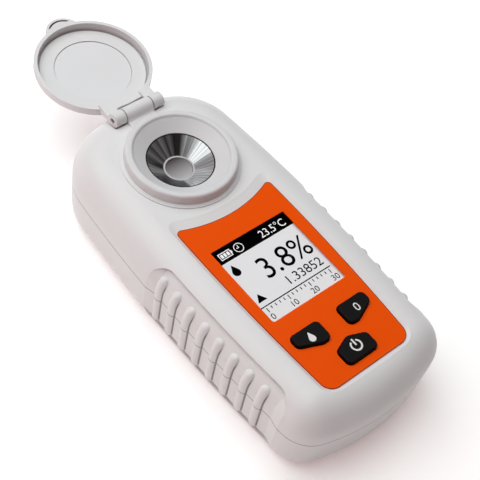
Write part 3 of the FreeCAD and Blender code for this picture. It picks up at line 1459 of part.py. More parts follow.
def hinge_pin():
    """Steel pin through both lid knuckles and the middle barrel."""
    return cylinder("hinge_pin", "pin_radius", "hinge_length - 2 * pin_recess",
                    "-hinge_length / 2 + pin_recess", "hinge_middle", HINGE_HEIGHT, ALONG_X)


def light_path():
    """Lamp and condenser lens in one tunnel, image sensor in the other, each on its board."""
    boards = []
    for side, name in ((LEFT, "sensor_board"), (RIGHT, "lamp_board")):
        boards.append(slope_box(name, side, "optic_board_width", "optic_board_length", "-optic_board", "0"))
    sensor = slope_box("image_sensor", LEFT, "sensor_width", "sensor_length", "0", "sensor_height")
    dome = doc.addObject("Part::Sphere", "lamp_dome")
    bind(dome, "Radius", "lamp_radius")
    on_slope(dome, RIGHT, inwards="lamp_length - lamp_radius")
    stem = slope_bar("lamp_stem", RIGHT, "lamp_radius", "0", "lamp_length - lamp_radius")
    lamp = fuse("light_source", [stem, dome])
    lens = slope_bar("condenser_lens", RIGHT, "tunnel_radius - lens_seat", "lens_place", LENS_FAR)
    return [*boards, sensor, lamp, lens]


def temperature_sensor():
    """Flat bead on the underside of the cup's flange."""
    return cylinder("temperature_sensor", "thermistor_radius", "1", "cup_flange - 2 * thermistor_radius",
                    "well_middle", "case_height - 2 * cup_wall - 1")


def sensor_ribbon():
    """Flat ribbon from its socket under the main board to the back of the sensor board."""
    body = new_body("sensor_ribbon")
    sketch = sketch_on(body, "side", "YZ_Plane")
    start = "(board_front - 0.6 - port_width / 2)"
    socket = f"({BOARD_UNDER} - port_height)"
    lap = "optic_board_length / 3"
    face = f"(well_middle - {MOUTH_ALONG} - optic_board * sqrt(0.5))"
    level = f"({MOUTH_HEIGHT} - optic_board * sqrt(0.5))"
    bend = (f"{face} - {lap} * sqrt(0.5)", f"{level} + {lap} * sqrt(0.5)")
    thin = "ribbon_thickness"
    polygon(sketch, [
        (f"{start} - {thin} / 2", socket),
        (f"{start} - {thin} / 2", f"{bend[1]} - {thin}"),
        (f"{bend[0]} - 0.41 * {thin}", f"{bend[1]} - {thin}"),
        (f"{face} - {thin} * sqrt(0.5)", f"{level} - {thin} * sqrt(0.5)"),
        (face, level),
        bend,
        (f"{start} + {thin} / 2", bend[1]),
        (f"{start} + {thin} / 2", socket),
    ])
    pad(body, sketch, "ribbon_width", both=True)
    return body


def build():
    """Make every piece and give back the finished ones by name."""
    lower = lower_form("lower_outside_form", "0")
    pieces = [top_shell(), bottom_shell(lower), battery_door(lower)]
    pieces.append(seam_ring("shell_gasket", "seal_outer + 0.05", "wall", "seam_height - seal_height / 2",
                            "seam_height + seal_height / 2"))
    pieces.extend(battery_cells())
    pieces.extend(battery_contacts())
    pieces.append(contact_springs())
    pieces.extend([front_label(), *display_parts(), main_board(), board_screws()])
    pieces.extend(board_components())
    pieces.extend([key_mat(), key_switches()])
    pieces.extend(key(name) for name in KEYS)
    pieces.extend([well_collar(), sample_cup(), prism(), prism_seal(), optics_block(), optics_screws()])
    pieces.extend([*light_path(), temperature_sensor(), sensor_ribbon()])
    pieces.extend([lid(), lid_liner(), hinge_pin(), case_screws()])
    return pieces


def check(pieces):
    """Stop if any object failed or any piece is not a sound solid."""
    doc.recompute()
    for item in doc.Objects:
        if "Invalid" in item.State or "Error" in item.State:
            raise RuntimeError(f"{item.Label} failed: {item.State}")
    for piece in pieces:
        if piece.Shape.isNull() or not piece.Shape.isValid() or piece.Shape.Volume <= 0:
            raise RuntimeError(f"{piece.Label} is not a sound solid")


def export(pieces):
    """Write one file per piece, named after it."""
    os.makedirs("parts", exist_ok=True)
    for piece in pieces:
        piece.Shape.exportStep(f"parts/{piece.Label}.step")
        box = piece.Shape.BoundBox
        print(f"{piece.Label}: {len(piece.Shape.Solids)} solid(s), "
              f"x {box.XMin:.2f}..{box.XMax:.2f} y {box.YMin:.2f}..{box.YMax:.2f} "
              f"z {box.ZMin:.2f}..{box.ZMax:.2f}")


finished = build()
check(finished)
export(finished)
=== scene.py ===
"""Looks of a hand-held digital refractometer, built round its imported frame.

Everything is in metres in the part's own frame: +Z up out of the display, +Y towards the
sample well, and the origin in the middle of the flat back.
"""
import math

import bmesh
import bpy
from bpy.props import FloatProperty, FloatVectorProperty, IntProperty, PointerProperty
from mathutils import Matrix, Vector


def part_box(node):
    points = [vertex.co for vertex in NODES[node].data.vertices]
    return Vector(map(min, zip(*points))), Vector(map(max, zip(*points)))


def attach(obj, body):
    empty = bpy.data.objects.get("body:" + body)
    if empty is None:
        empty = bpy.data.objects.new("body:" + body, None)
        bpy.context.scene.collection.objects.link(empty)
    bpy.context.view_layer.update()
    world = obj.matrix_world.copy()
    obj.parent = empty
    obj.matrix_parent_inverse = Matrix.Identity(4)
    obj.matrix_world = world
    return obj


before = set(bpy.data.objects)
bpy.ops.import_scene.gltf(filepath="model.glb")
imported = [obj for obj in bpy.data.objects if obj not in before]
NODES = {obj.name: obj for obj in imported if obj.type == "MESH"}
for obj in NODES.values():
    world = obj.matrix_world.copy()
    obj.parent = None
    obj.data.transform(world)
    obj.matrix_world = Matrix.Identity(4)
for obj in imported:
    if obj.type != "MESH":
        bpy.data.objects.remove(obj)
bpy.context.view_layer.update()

bl_info = {
    "name": "Digital refractometer looks",
    "version": (1, 0, 0),
    "blender": (4, 5, 0),
    "location": "View3D > Sidebar > Refractometer",
    "description": "Finishes, prints, studio and camera for the digital refractometer",
    "category": "Object",
}

MM = 0.001
SOFT = 0.1 * MM  # soft edge of a line that a material draws


def srgb(red, green, blue):
    """Linear colour of three display values from 0 to 255."""
    def linear(level):
        share = level / 255
        return share / 12.92 if share <= 0.04045 else ((share + 0.055) / 1.055) ** 2.4
    return (linear(red), linear(green), linear(blue))


def colour(name, note, levels):
    """A colour setting whose default is given in display values."""
    return FloatVectorProperty(name=name, description=note, subtype="COLOR", size=3,
                               min=0, max=1, default=srgb(*levels))


def length(name, note, millimetres):
    """A length setting whose default is given in millimetres."""
    return FloatProperty(name=name, description=note, unit="LENGTH", precision=5, min=0,
                         default=millimetres * MM)


def place(name, note, metres):
    """A setting of a place along an axis, whose default is given in metres."""
    return FloatProperty(name=name, description=note, unit="LENGTH", precision=5, default=metres)


def angle(name, note, degrees):
    """An angle setting whose default is given in degrees."""
    return FloatProperty(name=name, description=note, subtype="ANGLE",
                         default=math.radians(degrees))


def number(name, note, default):
    """A plain number setting."""
    return FloatProperty(name=name, description=note, default=default)


def middle(node_name):
    """Middle of the box round a node of the frame."""
    low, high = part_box(node_name)
    return (low + high) / 2


def shaded(shade, share):
    """A colour with each of its levels times a share."""
    return [level * share for level in shade]


class RefractometerColours(bpy.types.PropertyGroup):
    """Colours of the pieces and prints."""
    shell: colour("Casing", "Moulded casing", (219, 218, 219))
    collar: colour("Collar", "Collar round the sample well", (212, 212, 214))
    lid: colour("Lid", "Lid of the sample well", (218, 217, 218))
    liner: colour("Liner", "Disc in the lid", (219, 219, 221))
    label: colour("Label", "Printed film on the face", (234, 80, 4))
    ground: colour("Display ground", "Clear parts of the display", (219, 219, 221))
    segment: colour("Display ink", "Dark parts of the display", (4, 4, 5))
    # Label edge: painted shade in the gap round the film
    edge: colour("Label edge", "Thin line round the film", (96, 58, 40))
    key: colour("Keys", "Silicone keys", (5, 5, 6))
    key_print: colour("Key print", "Signs on the keys", (226, 224, 222))
    steel: colour("Steel", "Polished cup", (214, 214, 216))
    metal: colour("Metal", "Screws and contacts", (176, 176, 178))
    board: colour("Boards", "Circuit boards", (18, 92, 50))
    cell: colour("Cells", "Wrap of the dry cells", (38, 42, 50))
    floor: colour("Floor", "Studio floor", (252, 254, 255))


class RefractometerSizes(bpy.types.PropertyGroup):
    """Sizes of the prints, of the painted shade and highlight lines, and of the surface grain."""
    grain: length("Grain", "Spark-eroded grain of the mouldings", 0.32)
    # The parting line is drawn as painted shade
    seam: length("Seam", "Width of the parting line", 0.3)
    seam_height: place("Seam height", "Parting line above the back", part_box("bottom_shell")[1].z)

    rib_count: IntProperty(name="Ribs", description="Finger ribs on each side", default=8, min=1)
    # Rib lines: painted shadow lines along the foot of each finger rib
    rib_shade_line: length("Rib foot", "Foot line of the finger rib nearest the well, along Y", 2.15)
    rib_pitch: length("Rib pitch", "Finger rib to finger rib", 6.67)
    rib_inside: length("Rib inside", "Rib lines start this far from the middle plane", 27.0)
    rib_middle: length("Rib middle", "Middle of the rib lines, above the back", 14.8)
    rib_rise: length("Rib rise", "Rib lines above and below their middle", 9.2)

    hinge_middle: place("Hinge middle", "Hinge axis of the lid, along Y", middle("hinge_pin").y)
    hinge_height: place("Hinge height", "Hinge axis of the lid, above the back",
                        middle("hinge_pin").z)
    lid_tilt: angle("Lid tilt", "Open lid above the level", 2.0)
    lid_reach: length("Lid reach", "Hinge axis to the middle of the lid", 24.1)
    # Groove, slit and barrel gaps: drawn as painted shade on the lid
    lid_rim: length("Lid rim", "Radius past which the slit of the tab shows", 21.0)
    lid_line: length("Lid line", "Half the width of the groove and of the slit", 0.34)
    groove_radius: length("Groove radius", "Groove round the floor of the lid", 18.42)
    groove_depth: length("Groove depth", "Groove below the hinge axis, lid open", 4.62)
    tab_reach: length("Tab reach", "Middle of the lid to the middle of its tab", 16.9)
    slit_radius: length("Slit radius", "Arc slit of the tab", 5.3)
    slit_depth: length("Slit depth", "Slit below the hinge axis, lid open", 1.95)
    barrel_end: length("Barrel end", "Gap beside the middle barrel, from the middle plane", 5.5)
    barrel_gap: length("Barrel gap", "Half the width of the gap beside the barrel", 0.16)
    barrel_reach: length("Barrel reach", "Gap beside the barrel, out from the hinge axis", 2.6)

    well_middle: place("Well middle", "Middle of the sample well, along Y",
                       middle("sample_cup").y)
    # Bright rim: painted highlight; dark line: painted shadow in the gap round the cup
    well_highlight_radius: length("Well foot", "Bright rim round the prism, radius", 5.2)
    well_shadow_radius: length("Well rim", "Dark line round the steel cup, inner radius", 11.0)
    well_ring: length("Well ring", "Turning marks of the steel cup, per radian", 0.22)

    print_depth: length("Print depth", "Thickness of a print", 0.03)
    # Outline: thin sheet of painted shade in the gap round the film
    outline: length("Outline", "Width of the thin line round the film", 0.2)
    gap_shade_depth: length("Outline depth", "Thickness of the thin line", 0.02)

    screen: length("Screen", "Side of the square display", 30.2)
    screen_middle: place("Screen middle", "Middle of the display, along Y",
                         middle("display_window").y)
    screen_reach: length("Screen reach", "Display that shows past its square", 0.9)
    header: number("Header", "Share of the screen under the dark strip", 0.167)
    footer: number("Footer", "Share of the screen above the lower line", 0.795)
    digit_height: length("Digits", "Height of the large digits", 7.9)
    small_digit_height: length("Small digits", "Height of the small digits", 3.3)
    header_digit_height: length("Header digits", "Height of the digits in the dark strip", 3.0)

    key_drop: length("Key drop", "Height of the drop on its key", 3.6)
    key_digit: length("Key digit", "Height of the digit on its key", 2.9)
    power_radius: length("Power sign", "Radius of the ring on the power key", 1.75)
    power_line: length("Power line", "Width of the lines on the power key", 0.58)
    power_bar: length("Power bar", "Length of the bar on the power key", 2.4)
    power_gap: angle("Power gap", "Opening of the ring on the power key", 64.0)


class RefractometerStudio(bpy.types.PropertyGroup):
    """Camera and lamps."""
    azimuth: angle("Azimuth", "Direction of view round Z", -52.44)
    elevation: angle("Elevation", "Camera above the horizon", 52.65)
    roll: angle("Roll", "Turn of the camera about its view", 15.56)
    distance: place("Distance", "Camera from its target", 0.3659)
    lens: number("Lens", "Focal length on a 36 mm sensor, in mm", 88.07)
    target: FloatVectorProperty(name="Target", description="Point in the middle of the view",
                                subtype="TRANSLATION", default=(-0.0043, 0.00022, 0.031))
    world: number("World", "Brightness of the surroundings", 0.12)
    overhead: number("Overhead", "Power of the overhead softbox, in watts", 9.0)
    side: number("Side", "Power of the softbox on the left, in watts", 0.9)
    fill: number("Fill", "Power of the fill on the right, in watts", 0.5)


def settings(group):
    """The scene's settings of one kind."""
    return getattr(bpy.context.scene, f"refractometer_{group}")


class Field:
    """A number that varies over a surface: one output socket with the operators of arithmetic."""

    def __init__(self, finish, socket):
        self.finish = finish
        self.socket = socket

    def math(self, operation, *others, clamp=False):
        """Apply a Math node to this field and to other fields or plain numbers."""
        return self.finish.math(operation, self, *others, clamp=clamp)

    def __add__(self, other):
        return self.math("ADD", other)

    def __radd__(self, other):
        return self.math("ADD", other)

    def __sub__(self, other):
        return self.math("SUBTRACT", other)

    def __rsub__(self, other):
        return self.finish.math("SUBTRACT", other, self)

    def __mul__(self, other):
        return self.math("MULTIPLY", other)

    def __rmul__(self, other):
        return self.math("MULTIPLY", other)

    def __truediv__(self, other):
        return self.math("DIVIDE", other)

    def __rtruediv__(self, other):
        return self.finish.math("DIVIDE", other, self)

    def __pow__(self, other):
        return self.math("POWER", other)

    def __rpow__(self, other):
        return self.finish.math("POWER", other, self)

    def __abs__(self):
        return self.math("ABSOLUTE")

    def clamped(self):
        """This field, held between 0 and 1."""
        return self.math("ADD", 0, clamp=True)

    def below(self, limit, soft):
        """1 well below a limit and 0 well above it, with a soft step between."""
        return ((limit - self) / soft + 0.5).clamped()


class Finish:
    """A material under construction: its node tree, its shader and its surface point."""

    def __init__(self, name, **constants):
        self.material = bpy.data.materials.new(name)
        self.material.use_nodes = True
        self.tree = self.material.node_tree
        self.tree.nodes.clear()
        self.shader = self.tree.nodes.new("ShaderNodeBsdfPrincipled")
        self.output = self.tree.nodes.new("ShaderNodeOutputMaterial")
        self.tree.links.new(self.shader.outputs[0], self.output.inputs[0])
        for label, value in constants.items():
            self.set(label.replace("_", " "), value)

    def feed(self, socket, value):
        """Link a field or a socket to an input, or store a plain value there."""
        if isinstance(value, Field):
            value = value.socket
        if isinstance(value, bpy.types.NodeSocket):
            self.tree.links.new(value, socket)
            return
        if hasattr(socket, "default_value") and not isinstance(value, (int, float)):
            size = len(socket.default_value)
            value = tuple(value) + (1.0,) * (size - len(value))
        socket.default_value = value

    def set(self, label, value):
        """Give the shader one of its inputs."""
        self.feed(self.shader.inputs[label], value)

    def node(self, kind, options=None, inputs=None, output=0):
        """Any node: its settings first, then its inputs, by name or by number."""
        made = self.tree.nodes.new(f"ShaderNode{kind}")
        for label, value in (options or {}).items():
            if label == "stops":
                self.fill_ramp(made.color_ramp, value)
            else:
                setattr(made, label, value)
        for label, value in (inputs or {}).items():
            self.feed(made.inputs[label], value)
        return made.outputs[output]

    def fill_ramp(self, ramp, stops):
        """Give a colour ramp its stops, each a place and a colour."""
        while len(ramp.elements) < len(stops):
            ramp.elements.new(0.5)
        for element, (position, shade) in zip(ramp.elements, stops):
            element.position = position
            element.color = (*shade, 1.0)

    def field(self, kind, options=None, inputs=None, output=0):
        """As node, for an output that is a number."""
        return Field(self, self.node(kind, options, inputs, output))

    def math(self, operation, *values, clamp=False):
        """A Math node on fields and plain numbers."""
        options = {"operation": operation, "use_clamp": clamp}
        return self.field("Math", options, dict(enumerate(values)))

    def point(self):
        """The surface point in the part's frame, as a socket."""
        return self.node("TexCoord", output="Object")

    def axes(self):
        """The surface point as three fields, in metres."""
        parts = self.node("SeparateXYZ", inputs={"Vector": self.point()}).node
        return [Field(self, socket) for socket in parts.outputs]

    def noise(self, size, detail=2.0, roughness=0.5):
        """Soft noise from 0 to 1 with lumps of about the given size."""
        return self.field("TexNoise", inputs={"Vector": self.point(), "Scale": 1 / size,
                                              "Detail": detail, "Roughness": roughness})

    def mix(self, share, first, second):
        """Blend two colours by a field: its colour inputs are 6 and 7, its colour output is 2."""
        return self.node("Mix", {"data_type": "RGBA"}, {0: share, 6: first, 7: second}, 2)

    def bump(self, height, depth, strength=1.0):
        """Raise the surface by a field from 0 to 1 times a depth in metres."""
        self.set("Normal", self.node("Bump", inputs={"Strength": strength, "Distance": depth,
                                                     "Height": height}))


def wear(node_name, material):
    """Give a node of the frame its finish."""
    slots = NODES[node_name].data.materials
    slots.clear()
    slots.append(material)


def rubbed(made, size, roughness, spread, detail=2.0):
    """Roughness that wanders about its middle in patches of the given size."""
    return made.noise(size, detail) * spread + (roughness - spread / 2)


def moulded_plastic(name, shade, roughness, grain, shade_mask=None, grain_depth=0.004 * MM):
    """Satin moulded plastic: fine eroded grain, faint mottling, rubbed patches and painted shade
    along given lines.
    """
    made = Finish(name, Roughness=roughness, IOR=1.49, Specular_IOR_Level=0.45)
    mottle = made.noise(14 * MM, detail=3)
    tint = made.mix(mottle * 0.6, shade, shaded(shade, 0.955))
    if shade_mask:
        # Painted shade, dark where the given mask is set
        tint = made.mix(shade_mask(made), tint, shaded(shade, 0.14))
    made.set("Base Color", tint)
    made.set("Roughness", rubbed(made, 6 * MM, roughness, 0.14, detail=3))
    made.bump(made.noise(grain, roughness=0.6), grain_depth, 0.55)
    return made.material


def casing_shade_lines(made):
    """Painted shade along the parting line, and a thin painted shadow line along the foot of each
    finger rib.
    """
    seam_shade_share = 0.9
    rib_shade_share = 0.75
    sizes = settings("sizes")
    across, along, height = made.axes()
    # Painted shade along the parting line
    seam = abs(height - sizes.seam_height).below(sizes.seam / 2, sizes.seam / 3)
    # Painted shadow line along the foot of each finger rib
    pitches = (along - sizes.rib_shade_line) / sizes.rib_pitch
    aside = abs(pitches - pitches.math("ROUND")) * sizes.rib_pitch
    foot = aside.below(sizes.seam * 0.7, sizes.seam / 2)
    foot = foot * (sizes.rib_inside - abs(across)).below(0, SOFT)
    foot = foot * abs(height - sizes.rib_middle).below(sizes.rib_rise, 2 * MM)
    half_row = sizes.rib_count / 2
    row_middle = sizes.rib_shade_line - (half_row - 0.5) * sizes.rib_pitch
    foot = foot * abs(along - row_middle).below(half_row * sizes.rib_pitch, 1 * MM)
    return (seam * seam_shade_share).math("MAXIMUM", foot * rib_shade_share)


def lid_shade_lines(made):
    """Painted shade in the groove round the lid floor, in the arc slit of the tab and beside the
    middle barrel.
    """
    groove_shade_share = 0.45
    slit_shade_share = 0.85
    barrel_shade_share = 0.8
    sizes = settings("sizes")
    across, along, height = made.axes()
    back = along - sizes.hinge_middle
    rise = height - sizes.hinge_height
    tilt = sizes.lid_tilt
    out = back * math.cos(tilt) + rise * math.sin(tilt)
    deep = back * math.sin(tilt) - rise * math.cos(tilt)
    from_lid = out - sizes.lid_reach
    from_tab = from_lid - sizes.tab_reach
    lid_radius = (across * across + from_lid * from_lid) ** 0.5
    tab_radius = (across * across + from_tab * from_tab) ** 0.5
    groove = abs(lid_radius - sizes.groove_radius).below(sizes.lid_line, SOFT)
    groove = groove * deep.below(sizes.groove_depth, SOFT)
    slit = abs(tab_radius - sizes.slit_radius).below(sizes.lid_line, 0.8 * SOFT)
    slit = slit * deep.below(sizes.slit_depth, SOFT)
    slit = slit * (sizes.lid_rim - lid_radius).below(0, SOFT)
    beside = abs(abs(across) - sizes.barrel_end).below(sizes.barrel_gap, 0.5 * SOFT)
    beside = beside * out.below(sizes.barrel_reach, SOFT)
    # Painted shade in the groove, the slit and beside the barrel
    dark = (groove * groove_shade_share).math("MAXIMUM", slit * slit_shade_share)
    return dark.math("MAXIMUM", beside * barrel_shade_share)


def plain_finish(name, shade, roughness, metallic=0.0, grain=0.4 * MM, gloss=0.5):
    """A simple finish with faint mottling, for inner pieces and prints."""
    made = Finish(name, Metallic=metallic, Specular_IOR_Level=gloss)
    mottle = made.noise(3 * MM)
    made.set("Base Color", made.mix(mottle * 0.5, shade, shaded(shade, 0.85)))
    made.set("Roughness", rubbed(made, grain, roughness, 0.12))
    return made.material


# Painted reflections of the steel cup, as bright and dark streaks: an angle in degrees and a share
# of the steel's colour
STEEL_REFLECTION_FAN = (
    (-180, 0.30), (-168, 0.10), (-156, 0.02), (-116, 0.02), (-108, 0.80), (-71, 0.72), (-50, 0.86),
    (-32, 0.62), (-15, 0.92), (0, 1.0), (14, 1.0), (24, 0.55), (35, 0.22), (45, 0.62), (52, 0.05),
    (66, 0.03), (74, 0.30), (82, 0.05), (92, 0.45), (100, 0.12), (109, 0.40), (118, 0.05),
    (130, 0.24), (140, 0.03), (152, 0.05), (161, 0.50), (171, 0.66), (180, 0.30),
)


def turned_steel(name, shade, sizes):
    """Polished turned steel: rings, painted reflections as streaks that fan out, a painted
    highlight round the foot and a painted shadow line at the rim.
    """
    coarse_streaks = 41
    fine_streaks = 67
    streak_share = 0.48
    made = Finish(name, Metallic=0.35)
    across, along, _ = made.axes()
    along = along - sizes.well_middle
    radius = (across * across + along * along) ** 0.5
    rings = (radius / sizes.well_ring).math("SINE") * 0.5 + 0.5
    turn = along.math("ARCTAN2", across)
    stops = [(degrees / 360 + 0.5, shaded(shade, share)) for degrees, share in STEEL_REFLECTION_FAN]
    fan = made.node("ValToRGB", {"stops": stops}, {"Fac": turn / (2 * math.pi) + 0.5})
    dark = shaded(shade, 0.02)
    coarse = (turn * coarse_streaks).math("SINE") * 0.5
    fine = (turn * fine_streaks + 0.8).math("SINE") * 0.5
    streaks = (coarse + fine) * (streak_share / 2) + streak_share / 2
    # Painted shadow beyond the rim radius, painted reflection streaks inside it and a painted
    # highlight round the foot
    inside = made.mix(radius.below(sizes.well_shadow_radius, SOFT / 2), dark, made.mix(streaks, fan, dark))
    made.set("Base Color", made.mix(radius.below(sizes.well_highlight_radius, SOFT), inside, shade))
    made.set("Roughness", rings * 0.05 + 0.12)
    made.bump(rings, 0.002 * MM, 0.4)
    return made.material


def clear_layer(name, share):
    """Clear sheet: light passes straight through, and a share of the mirror image stays."""
    made = Finish(name, Base_Color=(0, 0, 0), IOR=1.49)
    made.set("Roughness", rubbed(made, 9 * MM, 0.055, 0.05, detail=3))
    through = made.node("BsdfTransparent", inputs={"Color": (1, 1, 1)})
    veil = made.field("Fresnel", inputs={"IOR": 1.45}) * share
    joined = made.node("MixShader", inputs={0: veil, 1: through, 2: made.shader.outputs[0]})
    made.feed(made.output.inputs["Surface"], joined)
    return made.material


def add_piece(name, mesh, body, material):
    """Put a finished mesh into the scene, riding on a body."""
    mesh.materials.clear()
    mesh.materials.append(material)
    piece = bpy.data.objects.new(name, mesh)
    bpy.context.scene.collection.objects.link(piece)
    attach(piece, body)
    return piece


def lettering(name, text, height, spot, body, material, depth, align="CENTER", stretch=1.0):
    """Raised digits or signs, centred in height on a spot of a face that looks up."""
    curve = bpy.data.curves.new(name, "FONT")
    curve.body = text
    curve.align_x = align
    curve.size = 1.0
    curve.resolution_u = 5
    source = bpy.data.objects.new(f"{name}_source", curve)
    bpy.context.scene.collection.objects.link(source)
    bpy.context.view_layer.update()
    evaluated = source.evaluated_get(bpy.context.evaluated_depsgraph_get())
    mesh = bpy.data.meshes.new_from_object(evaluated)
    bpy.data.objects.remove(source)
    low = min(vertex.co.y for vertex in mesh.vertices)
    high = max(vertex.co.y for vertex in mesh.vertices)
    scale = height / (high - low)
    x, y, z = spot
    mesh.transform(Matrix.Translation((x, y, z)) @ Matrix.Diagonal((scale * stretch, scale, 1, 1))
                   @ Matrix.Translation((0, -(low + high) / 2, 0)))
    thicken(mesh, depth)
    mesh.name = name
    return add_piece(name, mesh, body, material)


def thicken(mesh, depth):
    """Turn flat faces that look up into a closed layer."""
    form = bmesh.new()
    form.from_mesh(mesh)
    bmesh.ops.remove_doubles(form, verts=form.verts, dist=1e-7)
    for face in form.faces:
        if face.normal.z < 0:
            face.normal_flip()
    top = bmesh.ops.extrude_face_region(form, geom=form.faces[:])
    raised = [item for item in top["geom"] if isinstance(item, bmesh.types.BMVert)]
    bmesh.ops.translate(form, verts=raised, vec=(0, 0, depth))
    bmesh.ops.recalc_face_normals(form, faces=form.faces[:])
    form.to_mesh(mesh)
    form.free()


def flat_print(name, outlines, spot, body, material, depth):
    """A printed sign made of outlines, each a list of points about the spot."""
    form = bmesh.new()
    for outline in outlines:
        corners = [form.verts.new((spot[0] + x, spot[1] + y, spot[2])) for x, y in outline]
        form.faces.new(corners)
    mesh = bpy.data.meshes.new(name)
    form.to_mesh(mesh)
    form.free()
    thicken(mesh, depth)
    return add_piece(name, mesh, body, material)


def bar(left, right, low, high):
    """Outline of a bar that lies square to the axes."""
    return [(left, low), (right, low), (right, high), (left, high)]


def arc(centre, radius, first, last, steps):
    """Points on an arc, with its angles in degrees."""
    x, y = centre
    turns = [math.radians(first + (last - first) * step / steps) for step in range(steps + 1)]
    return [(x + radius * math.cos(turn), y + radius * math.sin(turn)) for turn in turns]


def ring(centre, radius, width, first=0.0, last=360.0, steps=32):
    """Outlines of a round line: quadrilaterals that share their edges."""
    outer = arc(centre, radius + width / 2, first, last, steps)
    inner = arc(centre, radius - width / 2, first, last, steps)
    return [[inner[i], outer[i], outer[i + 1], inner[i + 1]] for i in range(steps)]


def drop(centre, height):
    """Outline of a drop that stands on its round end."""
    x, y = centre
    belly = 0.32 * height
    round_part = arc((x, y + belly - height / 2), belly, -210, 30, 20)
    return [*round_part, (x, y + height / 2)]


class PieceOperator(bpy.types.Operator):
    """Shared base of the operators that finish or make pieces."""
    bl_options = {"REGISTER", "UNDO"}

    def execute(self, context):
        self.make(settings("colours"), settings("sizes"))
        return {"FINISHED"}


class REFRACTOMETER_OT_casing(PieceOperator):
    """Finish the casing, the battery door and the casing screws"""
    bl_idname = "refractometer.casing"
    bl_label = "Casing"

    def make(self, colours, sizes):
        shell = moulded_plastic("casing_plastic", colours.shell, 0.42, sizes.grain, casing_shade_lines)
        door = moulded_plastic("door_plastic", colours.shell, 0.42, sizes.grain)
        for name in ("top_shell", "bottom_shell"):
            wear(name, shell)
        wear("battery_door", door)
        wear("case_screws", plain_finish("screw_steel", colours.metal, 0.35, metallic=1.0))


class REFRACTOMETER_OT_well(PieceOperator):
    """Finish the collar, the steel cup, the prism and the seal of the sample well"""
    bl_idname = "refractometer.well"
    bl_label = "Sample well"

    def make(self, colours, sizes):
        wear("well_collar", moulded_plastic("collar_plastic", colours.collar, 0.38, sizes.grain))
        wear("sample_cup", turned_steel("turned_steel", colours.steel, sizes))
        wear("prism", self.prism_glass(sizes.well_middle))
        wear("prism_seal", plain_finish("seal_rubber", (0.02, 0.02, 0.022), 0.6))

    def prism_glass(self, well_middle):
        """Dense glass with a painted reflection: pale towards the display and dark towards the
        hinge.
        """
        fade = 9 * MM
        pale = (0.72, 0.70, 0.71)
        dark = (0.07, 0.05, 0.055)
        prism = Finish("prism_glass", IOR=1.62, Transmission_Weight=0.35)
        _, along, _ = prism.axes()
        share = ((along - well_middle) / fade + 0.5).clamped()
        # Painted reflection fading into painted shade across the glass
        prism.set("Base Color", prism.mix(share, pale, dark))
        prism.set("Roughness", rubbed(prism, 2 * MM, 0.05, 0.04))
        return prism.material


class REFRACTOMETER_OT_lid(PieceOperator):
    """Finish the lid, its liner and the hinge pin"""
    bl_idname = "refractometer.lid"
    bl_label = "Lid"

    def make(self, colours, sizes):
        wear("lid", moulded_plastic("lid_plastic", colours.lid, 0.40, sizes.grain, lid_shade_lines))
        wear("lid_liner", moulded_plastic("liner_film", colours.liner, 0.45, sizes.grain))
        wear("hinge_pin", plain_finish("pin_steel", (0.16, 0.155, 0.15), 0.4, metallic=0.6))


class REFRACTOMETER_OT_label(PieceOperator):
    """Finish the printed film of the face, and lay a thin line of painted shade round its edge"""
    bl_idname = "refractometer.label"
    bl_label = "Front label"

    def make(self, colours, sizes):
        film = Finish("label_film", IOR=1.5, Specular_IOR_Level=0.03)
        mottle = film.noise(11 * MM)
        film.set("Base Color", film.mix(mottle * 0.4, colours.label, shaded(colours.label, 0.95)))
        film.set("Roughness", rubbed(film, 5 * MM, 0.38, 0.08))
        film.bump(film.noise(0.18 * MM), 0.002 * MM, 0.3)
        wear("front_label", film.material)
        # The label edge finish is painted shade in the gap round the film
        self.outline(plain_finish("label_edge", colours.edge, 0.5, gloss=0.1), sizes)

    def outline(self, material, sizes):
        """Thin dark line of painted shade in the gap round the edge of the film."""
        upward = 0.99
        form = bmesh.new()
        form.from_mesh(NODES["front_label"].data)
        bmesh.ops.remove_doubles(form, verts=form.verts, dist=1e-6)
        form.normal_update()
        rest = [face for face in form.faces if face.normal.z < upward]
        bmesh.ops.delete(form, geom=rest, context="FACES")
        inset = bmesh.ops.inset_region(form, faces=form.faces[:], thickness=sizes.outline,
                                       use_boundary=True)
        reach = 2 * sizes.outline
        border = {face for face in inset["faces"]
                  if self.near_edge(face.calc_center_median(), reach)}
        spare = [face for face in form.faces if face not in border]
        bmesh.ops.delete(form, geom=spare, context="FACES")
        mesh = bpy.data.meshes.new("label_outline")
        form.to_mesh(mesh)
        form.free()
        thicken(mesh, sizes.gap_shade_depth)
        add_piece("label_outline", mesh, "case", material)

    def near_edge(self, spot, reach):
        """Whether a spot belongs to the outer edge and not to an opening of the film."""
        for name in ("display_window", "meas_key", "zero_key", "power_key"):
            low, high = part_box(name)
            if (low.x - reach < spot.x < high.x + reach
                    and low.y - reach < spot.y < high.y + reach):
                return False
        return True


# Places of the signs on the screen, in shares of its side across and down from its upper left
SCREEN_SPOTS = {
    "battery": (0.06, 0.128),
    "clock": (0.315, 0.087),
    "temperature": (0.95, 0.087),
    "drop": (0.10, 0.29),
    "reading": (0.645, 0.437),
    "small reading": (0.95, 0.685),
    "wedge": (0.10, 0.69),
}
SCREEN_UNITS = 30  # units along the side of the screen, in which its signs are drawn


